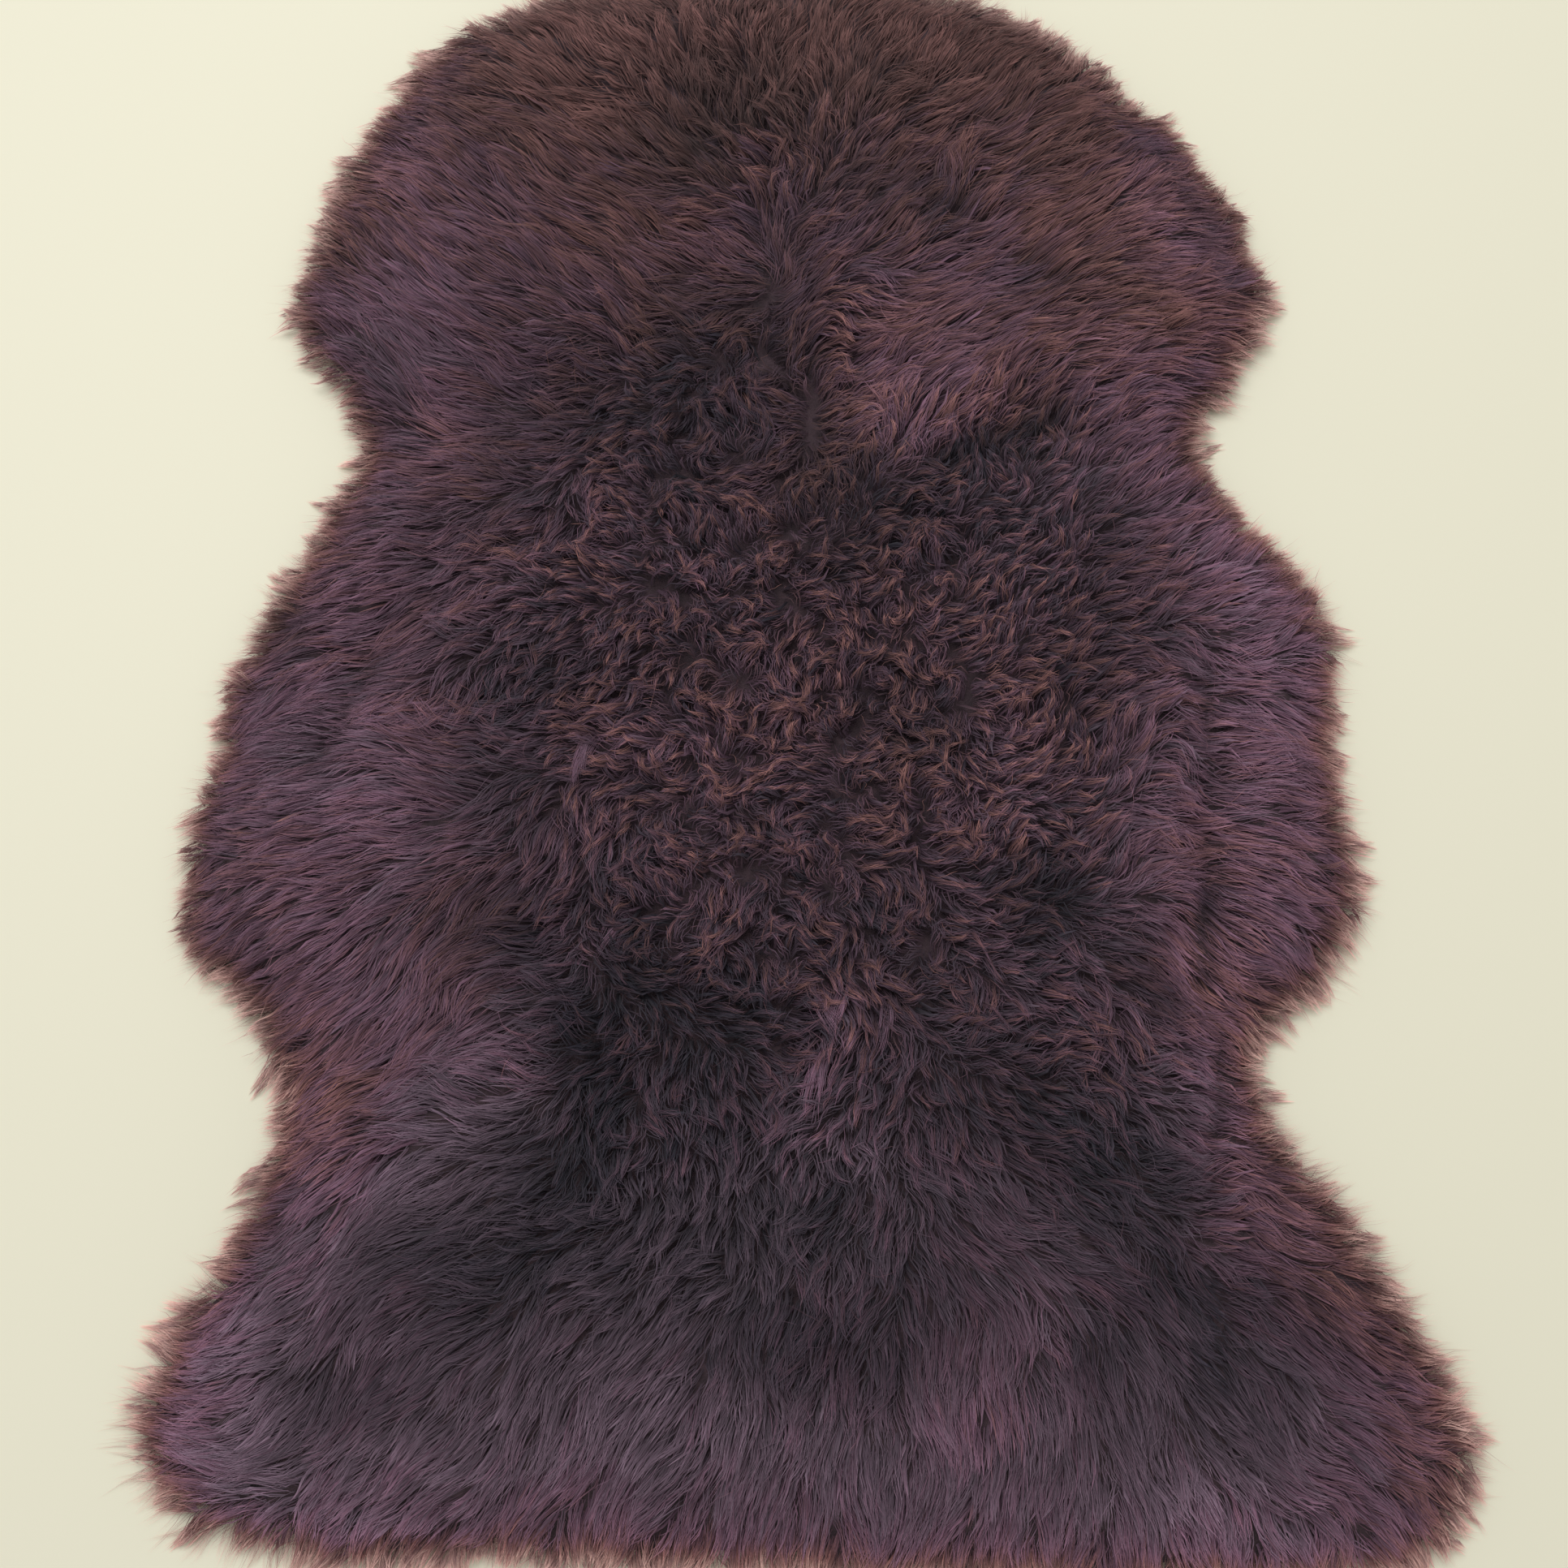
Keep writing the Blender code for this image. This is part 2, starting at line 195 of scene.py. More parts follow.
# Where the wool is browner than mauve, above 0, or more ashen, below 0
WARMTHS = strokes({
    "crown": [(-120, 445, 120, 445, 66, 0.45), (-110, 404, 90, 404, 16, 0.12)],
    "neck": [(-110, 350, 120, 345, 72, 0.23), (-150, 215, -60, 205, 34, 0.15)],
    "brow": [(-240, 320, -190, 380, 40, 0.12)],
    "shoulder": [(35, 200, 130, 190, 30, 0.14)],
    "back": [(-20, 130, 80, -20, 80, 0.08), (-90, -10, 100, -55, 48, 0.11), (-62, -64, -34, -92, 24, 0.08)],
    "ribs": [(-240, -20, -190, -50, 34, -0.1)],
    "flank": [(-285, -50, -285, -100, 30, -0.1), (-285, -165, -260, -215, 30, 0.12)],
    "thigh": [(225, -160, 285, -320, 30, 0.2)],
    "basin": [(-110, -195, 30, -215, 42, -0.12)],
    "rump": [(-180, -258, -50, -285, 36, -0.36), (-260, -330, 260, -330, 62, -0.18)],
    "tail": [
        (-290, -420, 290, -420, 55, -0.18), (20, -350, 120, -372, 26, 0.2),
        (-220, -464, 230, -466, 16, 0.2), (-150, -434, 60, -438, 26, 0.13),
    ],
    "cheek": [(160, 325, 205, 245, 35, 0.2)],
    "loin": [(105, -100, 190, -155, 30, -0.08), (30, -190, 60, -240, 24, 0.1)],
    "haunch": [(285, -320, 330, -400, 28, 0.24), (160, -330, 210, -300, 26, 0.07)],
    "sides": [
        (-280, 60, -215, 130, 40, 0.1), (-130, -40, -90, -125, 24, 0.1), (240, -15, 242, -60, 20, 0.1),
        (268, -100, 268, -140, 18, -0.08),
    ],
    "hind corners": [(-325, -370, -295, -425, 28, 0.12), (322, -398, 290, -438, 26, 0.1)],
    "groin": [(-240, -240, -170, -270, 26, 0.12)],
})

# Painted shade and light, with some of the wool's own tone: darker in hollows and shaded places, below 0, or
# lighter where it catches the light, above 0
SHADES = strokes({
    "crown": [
        (-90, 440, 80, 440, 55, -0.15), (-50, 375, -25, 350, 20, -0.5), (-36, 332, -22, 326, 13, 0.28),
        (-88, 336, -62, 330, 16, -0.38), (-108, 300, -86, 300, 15, -0.2), (30, 310, 75, 300, 17, -0.38),
    ],
    "neck": [(-65, 225, 0, 215, 20, -0.4), (-120, 190, -40, 170, 28, -0.3)],
    "hollow": [
        (-165, 160, -130, 145, 18, -0.3), (-170, 138, -164, 104, 18, -0.3), (126, 158, 146, 166, 8, -0.6),
        (84, 134, 116, 142, 9, -0.6), (86, 141, 148, 178, 6, -0.38),
    ],
    "cheek": [
        (-247, 192, -237, 170, 13, -0.35), (175, 248, 250, 225, 36, 0.22), (128, 246, 140, 240, 9, -0.15),
        (132, 250, 142, 244, 10, -0.3),
    ],
    "parting": [(-12, 300, 0, 240, 8, -0.2)],
    "withers": [
        (-75, 150, 10, 140, 26, -0.35), (10, 120, 40, 105, 20, -0.3), (70, 112, 104, 108, 16, -0.25),
        (-75, 112, -55, 106, 16, -0.28),
    ],
    "back": [
        (166, 80, 155, -25, 24, -0.3), (80, 42, 112, -25, 17, 0.15), (100, 44, 106, 36, 14, -0.2),
        (62, -26, 74, -30, 14, -0.3), (-110, 55, -60, 10, 24, -0.22), (-136, 10, -124, 0, 15, -0.36),
        (-98, -28, -62, -28, 14, 0.25), (-105, -40, -85, -75, 16, -0.3), (-82, -30, -52, -115, 24, 0.14),
        (5, 78, 36, 72, 16, -0.2), (-36, 8, -26, 2, 14, 0.28),
    ],
    "loin": [
        (138, -95, 146, -115, 18, -0.25), (110, -20, 150, -40, 20, 0.22), (116, -165, 128, -180, 12, 0.2),
        (96, -92, 126, -100, 16, -0.32), (-40, -90, -20, -105, 16, -0.35),
        (-128, -140, -150, -164, 11, 0.35), (38, -60, 120, -66, 14, 0.16),
    ],
    "ribs": [
        (-175, 20, -155, -55, 26, -0.25), (-196, -20, -165, -98, 13, 0.18),
        (-168, -56, -158, -70, 16, -0.3), (-232, -26, -232, -66, 18, 0.22),
        (-150, -25, -110, -20, 16, 0.15),
    ],
    "flank": [(-293, 48, -286, 38, 11, -0.5), (-270, 0, -265, -120, 42, 0.25)],
    "croup": [
        (-170, -118, -150, -150, 22, -0.5), (-164, -124, -156, -132, 14, -0.15),
        (-130, -135, -50, -150, 22, -0.3), (-100, -108, -92, -138, 15, -0.32),
        (30, -130, 60, -140, 20, -0.35), (122, -98, 160, -140, 16, -0.22), (180, -155, 188, -166, 10, -0.2),
        (124, -128, 132, -124, 14, -0.25), (-262, -190, -262, -240, 14, 0.25),
    ],
    "groove": [(204, -160, 222, -168, 10, -0.5), (180, -152, 192, -164, 12, -0.32)],
    "basin": [
        (-118, -182, -110, -222, 15, -0.5), (-85, -185, 90, -200, 36, -0.48),
        (-120, -265, -20, -275, 36, -0.5), (-94, -188, -92, -225, 9, 0.2), (95, -245, 160, -255, 28, -0.3),
        (-66, -188, -54, -194, 17, -0.28),
    ],
    "rump": [
        (-150, -325, 30, -345, 28, -0.3), (-10, -248, 22, -250, 15, 0.4), (-70, -315, -20, -320, 16, 0.2),
        (-62, -284, -60, -345, 10, -0.16), (-250, -320, -225, -300, 18, 0.3),
        (-218, -345, -230, -352, 11, 0.2), (-164, -250, -120, -258, 17, -0.4),
        (112, -312, 122, -330, 13, 0.25), (14, -284, 60, -284, 14, -0.28), (58, -314, 96, -312, 14, -0.45),
        (84, -342, 102, -342, 12, -0.2),
    ],
    "haunch": [
        (-210, -325, -165, -308, 25, -0.32), (-248, -368, -225, -365, 16, -0.45),
        (-186, -345, -184, -372, 16, -0.28), (155, -255, 195, -290, 30, -0.42),
        (142, -335, 152, -375, 17, -0.34), (190, -320, 246, -345, 20, -0.36),
        (126, -300, 138, -345, 8, -0.25), (196, -265, 190, -310, 8, -0.1),
    ],
    "tail": [
        (-30, -345, 40, -345, 17, -0.35), (-212, -416, 172, -418, 34, 0.24),
        (-240, -452, 190, -458, 14, 0.4), (0, -406, 66, -406, 14, -0.13), (-62, -372, -42, -372, 14, 0.25),
        (205, -440, 300, -452, 16, 0.68), (-262, -430, -232, -445, 16, 0.4),
        (-180, -405, -92, -406, 14, 0.14),
    ],
    "hind corners": [
        (200, -368, 230, -378, 20, -0.38), (290, -410, 325, -370, 30, 0.25),
        (148, -340, 156, -350, 13, -0.3), (160, -312, 170, -316, 10, -0.22),
        (-330, -340, -300, -400, 34, 0.3), (-300, -310, -335, -360, 16, 0.35),
        (-334, -365, -318, -420, 16, 0.4), (338, -370, 332, -430, 16, 0.25),
        (-318, -320, -300, -420, 26, 0.3),
    ],
    "shoulder": [
        (35, 217, 110, 205, 20, 0.3), (48, 182, 98, 172, 15, 0.32), (54, 156, 72, 150, 12, 0.35),
        (30, 155, 36, 150, 12, 0.15), (100, 217, 138, 217, 11, -0.16), (60, 148, 105, 182, 11, 0.15),
    ],
    "sides": [
        (256, 70, 254, -120, 38, 0.42), (190, -12, 198, -104, 14, 0.24), (237, 20, 237, -130, 17, 0.22),
        (290, 20, 300, -60, 18, 0.25), (-264, 40, -230, 110, 13, 0.25),
    ],
    "hip": [
        (-240, -185, -190, -200, 32, 0.15), (-240, -262, -188, -250, 20, 0.28),
        (-160, -205, -163, -232, 10, 0.18),
    ],
    "brow": [
        (-205, 335, -195, 325, 15, -0.15), (30, 368, 50, 366, 11, -0.2), (-232, 296, -214, 326, 12, 0.18),
        (-235, 300, -215, 330, 14, 0.2), (238, 216, 206, 298, 11, 0.2), (200, 300, 212, 280, 18, 0.3),
    ],
    "armpit": [(158, 182, 205, 186, 20, 0.4), (-228, 180, -200, 146, 16, 0.22)],
    "nape": [
        (-62, 332, -56, 328, 11, -0.3), (-176, 252, -156, 256, 16, -0.22), (-130, 408, -28, 412, 11, 0.22),
        (30, 218, 44, 216, 9, 0.2),
    ],
    "thigh": [
        (-208, -285, -190, -290, 13, -0.3), (-222, -290, -210, -296, 12, -0.1),
        (214, -205, 224, -285, 17, 0.5), (264, -285, 284, -315, 12, 0.3),
    ],
    "groin": [(218, -165, 222, -230, 14, 0.25), (216, -158, 222, -172, 14, 0.55)],
    "elbow": [(262, 95, 284, 60, 18, 0.15), (128, 44, 146, 36, 10, 0.18)],
    "mauve lock": [
        (14, -164, 22, -194, 6, 0.35), (20, -200, -2, -240, 6, 0.3), (10, -236, 30, -168, 11, 0.3),
    ],
    "waist": [(200, 130, 232, 85, 20, 0.3), (-258, -180, -262, -250, 16, 0.25)],
})

# Creases across the locks, where the skin is folded; the locks are painted darker along them, a painted shade
CREASES = strokes({
    "side right": [(226, 48, 218, -60, 2.7, -1.0)],
    "side right low": [(218, -70, 218, -155, 3.0, -1.2)],
    "thigh right": [(216, -180, 213, -262, 3.2, -0.8)],
    "side left": [(-232, 24, -268, -42, 3.5, -0.6)],
    "haunch right": [(208, -300, 212, -360, 3.0, -0.35)],
})

# Extra reach of the locks and the fringe past the edge, in millimetres
LONGER = strokes({
    "corner left": [(-330, -345, -325, -400, 32, 17)],
    "corner low left": [(-310, -420, -225, -452, 26, 20)],
    "corner right": [(320, -410, 325, -370, 32, 12)],
    "thigh right": [(235, -255, 270, -310, 26, 10)],
    "flank left": [(-305, -80, -290, -150, 24, 11)],
    "side left": [(-285, 50, -280, 20, 18, 8)],
    "side right": [(290, 60, 285, 10, 20, 8)],
    "flank right": [(295, -90, 285, -140, 24, 12)],
})

# Single tufts that lie on the rest: x, y, heading in degrees, length, bend in radians, spread, how many
# strands, tone and warmth
TUFTS = rows_of({
    "mauve lock": [
        (24, -150, 258, 44, -0.3, 3.4, 48, 0.52, 0.2), (4, -158, 292, 34, 0.4, 2.6, 32, 0.47, 0.2),
        (42, -160, 282, 44, -0.5, 2.4, 32, 0.52, 0.2), (14, -186, 246, 50, 0.4, 4.5, 64, 0.52, 0.2),
        (-6, -222, 236, 34, -0.4, 3.5, 40, 0.42, 0.2),
    ],
    "mauve tuft": [(-112, -18, 240, 44, 0.4, 6, 96, 0.26, 0.2)],
    "croup": [(-88, -112, 232, 46, 0.2, 4, 48, 0.3, 0.2)],
    "right side": [
        (262, -36, 352, 42, -0.9, 1.6, 40, -0.1, 0.3), (272, -92, 350, 44, 1.0, 0.3, 3, 0.0, 0.5),
        (266, 44, 5, 38, -0.3, 4, 32, 0.0, 0.5), (272, -118, 345, 38, -0.3, 4, 32, 0.0, 0.5),
    ],
    "left side": [
        (-276, 46, 140, 40, 0.5, 2.2, 24, 0.0, 0.5), (-288, 24, 165, 40, 0.4, 4, 40, 0.0, 0.5),
        (-300, 2, 130, 38, 0.5, 1.6, 16, 0.0, 0.5),
    ],
})

# Troughs and swells of the locks over the pelt's own, in millimetres
DIPS = strokes({
    "groove right": [(221, 45, 217, -155, 5, -4)],
    "groove end": [(204, -160, 222, -168, 9, -5)],
    "groove low": [(218, -204, 214, -262, 5, -4)],
    "hollow right": [(92, 143, 142, 170, 13, -7)],
    "basin edge": [(-112, -168, -104, -204, 16, -5)],
    "side crease left": [(-266, -30, -242, 0, 7, -4)],
    "shoulder swell": [(35, 215, 130, 197, 17, 3)],
    "hip left": [(-190, -200, -150, -160, 22, 3)],
    "mauve lock": [(-4, -235, 20, -172, 9, 4)],
})


def smooth_blur(grid, cells):
    """The grid blurred by a Gaussian of that many cells, its edges held."""
    reach = max(1, int(3 * cells))
    kernel = np.exp(-0.5 * (np.arange(-reach, reach + 1) / cells) ** 2)
    kernel /= kernel.sum()
    for axis in (0, 1):
        padded = np.pad(grid, [(reach, reach) if a == axis else (0, 0) for a in (0, 1)], mode="edge")
        grid = sum(
            weight * np.take(padded, np.arange(grid.shape[axis]) + shift, axis=axis)
            for shift, weight in enumerate(kernel)
        )
    return grid


class Field:
    """Values on a square grid, read between its points."""

    def __init__(self, origin, cell, values):
        self.origin, self.cell, self.values = np.array(origin), cell, values

    def __call__(self, points):
        spots = (points[..., :2] - self.origin) / self.cell
        last = np.array(self.values.shape[1::-1]) - 1.001
        spots = np.clip(spots, 0, last)
        low = spots.astype(int)
        x, y = np.moveaxis(spots - low, -1, 0)
        i, j = low[..., 1], low[..., 0]
        v = self.values
        top = v[i, j] * (1 - x) + v[i, j + 1] * x
        bottom = v[i + 1, j] * (1 - x) + v[i + 1, j + 1] * x
        return top * (1 - y) + bottom * y


def noise_field(rng, scale):
    """Smooth random values of about unit size, with hills of that scale."""
    low, high = PLAN_LOW - NOISE_MARGIN, PLAN_HIGH + NOISE_MARGIN
    count = np.ceil((high - low) / (scale / 2)).astype(int) + 2
    values = smooth_blur(rng.normal(size=(count[1], count[0])), 1.0)
    return Field(low, scale / 2, values / values.std())


def nearest(points, among):
    """The number of the nearest of the others, for each point."""
    tree = KDTree(len(among))
    for index, (x, y) in enumerate(among):
        tree.insert((x, y, 0), index)
    tree.balance()
    return np.array([tree.find((x, y, 0))[1] for x, y in points])


def pelt_maps():
    """Fields of the pelt's height, and of the distance inwards from the middle of its rim locks."""
    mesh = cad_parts["pelt"].data
    tree = BVHTree.FromPolygons([v.co for v in mesh.vertices], [p.vertices for p in mesh.polygons])
    low, high = PLAN_LOW - MAP_MARGIN, PLAN_HIGH + MAP_MARGIN
    columns, rows = np.ceil((high - low) / CELL).astype(int) + 1
    heights = np.zeros((rows, columns))
    down = Vector((0, 0, -1))
    for row in range(rows):
        for column in range(columns):
            hit = tree.ray_cast(Vector((low[0] + column * CELL, low[1] + row * CELL, 1.0)), down)[0]
            if hit is not None:
                heights[row, column] = hit.z
    cover = smooth_blur((heights > 0).astype(float), EDGE_BLUR / CELL)
    inside = cover > 0.5
    edge = inside & ~(
        np.roll(inside, 1, 0) & np.roll(inside, -1, 0) & np.roll(inside, 1, 1) & np.roll(inside, -1, 1)
    )
    edge_cells = np.argwhere(edge)[:, ::-1].astype(float)
    cells = np.stack(np.meshgrid(np.arange(columns), np.arange(rows)), -1).reshape(-1, 2).astype(float)
    distance = np.sqrt(((cells - edge_cells[nearest(cells, edge_cells)]) ** 2).sum(-1))
    distance = distance.reshape(rows, columns) * CELL * np.where(inside, 1, -1)
    height = smooth_blur(heights, HEIGHT_BLUR / CELL)
    return Field(low, CELL, height), Field(low, CELL, smooth_blur(distance, 1.0))


HEIGHT, INWARD = pelt_maps()
WAVES = np.random.default_rng(SEED)
SWING = noise_field(WAVES, 36 * MM)
TURN = noise_field(WAVES, 16 * MM)
BEND = noise_field(WAVES, 18 * MM)
LIFT = noise_field(WAVES, 17 * MM)
SHADE = noise_field(WAVES, 24 * MM)
WARM = noise_field(WAVES, 38 * MM)
WARP_X, WARP_Y = noise_field(WAVES, 22 * MM), noise_field(WAVES, 22 * MM)
SWIRL_X, SWIRL_Y = noise_field(WAVES, 14 * MM), noise_field(WAVES, 14 * MM)


def unit(vectors, least=1e-9):
    """The vectors at length 1, but for those shorter than the least."""
    return vectors / np.maximum(np.linalg.norm(vectors, axis=-1, keepdims=True), least)


def combed(points):
    """Unit direction of the wool at each point."""
    xy = points[..., :2] / MM
    total = 0.12 * np.stack([SWIRL_X(points), SWIRL_Y(points)], -1)
    for x, y, heading, reach in COMBS:
        gap = ((xy - (x, y)) ** 2).sum(-1)
        weight = np.exp(-gap / (2 * reach**2)) + 1e-5 / (1 + gap / 1e4)
        heading = math.radians(heading)
        total += weight[..., None] * (math.cos(heading), math.sin(heading))
    return unit(total)


def start_and_span(stroke):
    """Where the stroke starts, and its vector to its end."""
    start = np.array([stroke.x0, stroke.y0], float)
    return start, np.array([stroke.x1, stroke.y1], float) - start


def segment_gap(xy, stroke):
    """Distance of each point from the stroke's line, in millimetres."""
    start, span = start_and_span(stroke)
    along = np.clip((xy - start) @ span / (span @ span), 0, 1)
    return np.sqrt(((xy - start - along[..., None] * span) ** 2).sum(-1))


def warped(points, amount):
    """Plan places in millimetres, pushed about irregularly by about that many millimetres."""
    return points[..., :2] / MM + amount * np.stack([WARP_X(points), WARP_Y(points)], -1)


def brushed(points, marks):
    """Sum of the strokes at each point, their edges irregular and firmer than a Gaussian's."""
    xy = warped(points, WARP)
    total = np.zeros(xy.shape[:-1])
    for stroke in marks:
        total += stroke.amount * np.exp(-0.4 * (segment_gap(xy, stroke) / stroke.half_width) ** 2.8)
    return total


def turned(directions, angles):
    """Plan directions turned by these angles."""
    c, s = np.cos(angles), np.sin(angles)
    x, y = directions[..., 0], directions[..., 1]
    return np.stack([c * x - s * y, s * x + c * y], -1)


def scattered(rng, pitch, least_inward, most_inward=1.0):
    """Points of a jittered lattice whose distance inwards lies between the two."""
    low, high = PLAN_LOW - STRAND_MARGIN, PLAN_HIGH + STRAND_MARGIN
    spacing = np.array([pitch, pitch * math.sqrt(0.75)])
    columns, rows = ((high - low) / spacing).astype(int) + 1
    grid = np.stack(np.meshgrid(np.arange(columns), np.arange(rows)), -1).astype(float)
    grid[1::2, :, 0] += 0.5
    points = low + grid.reshape(-1, 2) * spacing
    points += rng.uniform(-0.42, 0.42, points.shape) * pitch
    inward = INWARD(points)
    return points[(inward > least_inward) & (inward < most_inward)]


Strands = namedtuple("Strands", "name paths widths rolls tone warm")
Clumps = namedtuple("Clumps", "roots plans rise arch tangle tone warm past")


def wool_top(points):
    """Height that the locks lie at: the pelt's own with its dips, drooping past its edge."""
    inward = INWARD(points)
    dips = brushed(points, DIPS) * MM * np.clip(inward / RIM_WIDTH, 0, 1)
    rim = OVERHANG + np.minimum(np.where(inward > 0, 0.5, 0.75) * inward, 0.5 * RIM_WIDTH)
    return np.maximum(HEIGHT(points) * np.clip(1 + inward / DROOP_END, 0, 1) + dips, np.maximum(rim, 0))


def rim_share(points):
    """1 at the pelt's edge and past it, 0 from the rim's width inwards."""
    return np.clip(1 - INWARD(points) / RIM_WIDTH, 0, 1)


def outward(points):
    """Unit direction out of the pelt's edge."""
    steps = 3 * MM * np.eye(2)
    return unit(np.stack([INWARD(points - step) - INWARD(points + step) for step in steps], -1))


def lock_plan(roots, lengths, stray, bend, wave, phase, to_rim=0.0):
    """Plan paths, (locks, STEPS + 1, 2), combed over the pelt and outwards at its rim."""
    at = roots
    plan = [at]
    for step in range(STEPS):
        along = (step + 0.5) / STEPS
        angle = stray + bend * (along - 0.3) + wave * np.sin(2 * math.pi * along + phase)
        lean = np.maximum(LEAN_AT_RIM * rim_share(at), to_rim)[:, None]
        way = unit(combed(at) * (1 - lean) + outward(at) * lean)
        at = at + turned(way, angle) * (lengths / STEPS)[:, None]
        plan.append(at)
    return np.stack(plan, 1)


def resampled(axes, shares):
    """Points of each path at its own shares of the length, (strands, points, 3)."""
    spots = np.clip(shares, 0, 1) * (axes.shape[1] - 1)
    low = np.minimum(spots.astype(int), axes.shape[1] - 2)
    part = (spots - low)[..., None]
    rows = np.arange(len(axes))[:, None]
    return axes[rows, low] * (1 - part) + axes[rows, low + 1] * part


def share_before(beyond):
    """The share of each path that comes before the first point where this is above 0."""
    steps = beyond.shape[1] - 1
    out = beyond > 0
    first = np.where(out.any(1), out.argmax(1), steps)
    rows = np.arange(len(beyond))
    before = np.maximum(first - 1, 0)
    gap = beyond[rows, first] - beyond[rows, before]
    part = np.where(out.any(1), -beyond[rows, before] / np.where(gap > 0, gap, 1), 1.0)
    return np.clip((before + np.clip(part, 0, 1)) / steps, 0.25, 1)


def share_inside(axes, past_edge):
    """The share of each path that lies less than this far past the pelt's edge."""
    return share_before(-INWARD(axes) - past_edge[:, None])


def crease_painted_shade(points):
    """Painted shade in the creases: how much darker the locks are there, broken here and there."""
    xy = warped(points, CREASE_WARP)
    total = np.zeros(points.shape[:-1])
    for crease in CREASES:
        total += crease.amount * np.exp(-0.5 * (segment_gap(xy, crease) / crease.half_width) ** 2)
    return total * np.clip(0.75 + 0.4 * TURN(points), 0, 1.3)


def share_to_crease(axes, gap):
    """The share of each path that comes before it has crossed a crease by less than the gap."""
    xy = warped(axes, CREASE_WARP)
    share = np.ones(len(axes))
    for crease in CREASES:
        start, span = start_and_span(crease)
        way = (xy - start) @ span / (span @ span)
        off = ((xy - start) @ (span[1], -span[0])) / np.linalg.norm(span)
        crossed = np.where((way > 0) & (way < 1), -off * np.sign(off[:, :1]), -1.0)
        share = np.minimum(share, share_before(crossed - gap[:, None]))
    return share


def clumps_at(rng, roots, length, loose=1.0):
    """Clumps that the locks gather into. Tangled ones are shorter, more curled, more upright and darker."""
    tangle = np.clip(brushed(roots, TANGLES), 0, 1)
    count = len(roots)
    lengths = rng.uniform(*length, count) * (1 - 0.5 * tangle)
    stray = rng.normal(0, 1, count) * (0.07 + 0.28 * tangle) * loose
    stray += SWING(roots) * (0.16 + 0.4 * tangle) + TURN(roots) * (0.12 + 0.5 * tangle)
    bend = rng.normal(0, 1, count) * (0.15 + 0.4 * tangle) * loose + BEND(roots) * (0.2 + 0.5 * tangle)
    wave = rng.uniform(0.1, 0.25, count) + 0.1 * tangle
    plans = lock_plan(roots, lengths, stray, bend, wave, rng.uniform(0, 2 * math.pi, count))
    longer = np.maximum(brushed(plans[:, -1], LONGER), 0) * MM
    return Clumps(
        roots,
        plans,
        (LIFT(roots) * (0.5 + 1.0 * tangle) + rng.normal(0, 0.4 + 0.9 * tangle, count)) * MM,
        (0.6 + 3.2 * tangle) * MM,
        tangle,
        0.09 * SHADE(roots) + rng.normal(0, 0.07 + 0.1 * tangle, count),
        MAUVE_AT + 0.06 * WARM(roots) + rng.normal(0, 0.06, count),
        np.minimum(rng.exponential(5.5 * MM, count), 15 * MM) + longer * rng.uniform(0.2, 1, count),
    )


def lock_axes(rng, clumps, owner, roots, cut, pull, at_rim, pointed):
    """Paths of the locks' middles, (locks, STEPS + 1, 3), each drawn towards the tip of its clump."""
    count = len(roots)
    tangle = clumps.tangle[owner]
    start = clumps.roots[owner][:, None]
    offset = roots - clumps.roots[owner]
    drawn = rng.uniform(*pull, count) + 0.5 * tangle + 0.15 * at_rim + 0.4 * pointed
    drawn = np.clip(drawn, 0, 0.95)[:, None]
    ends = share_inside(clumps.plans, clumps.past)[owner][:, None]
    plan = (clumps.plans[owner] - start) * rng.uniform(0.85, 1.1, count)[:, None, None]
    plan += start + offset[:, None] * (1 - drawn * np.minimum(ALONG / ends, 1) ** 1.2)[..., None]
    room = np.maximum(HEIGHT(roots) - 3 * MM, 0)
    root_depth = np.minimum(cut.depth * rng.uniform(0.8, 1.25, count), room)
    dome = np.maximum(1 - (offset**2).sum(-1) / DOME_REACH**2, -1) * (0.7 + 1.5 * tangle) * MM
    rise = clumps.rise[owner] + dome + cut.crest
    height = wool_top(plan) - root_depth[:, None] * (1 - ALONG) ** 1.3
    height += rise[:, None] * ALONG**0.7 + np.sin(np.pi * ALONG) * clumps.arch[owner][:, None]
    return np.concatenate([plan, height[..., None]], -1)


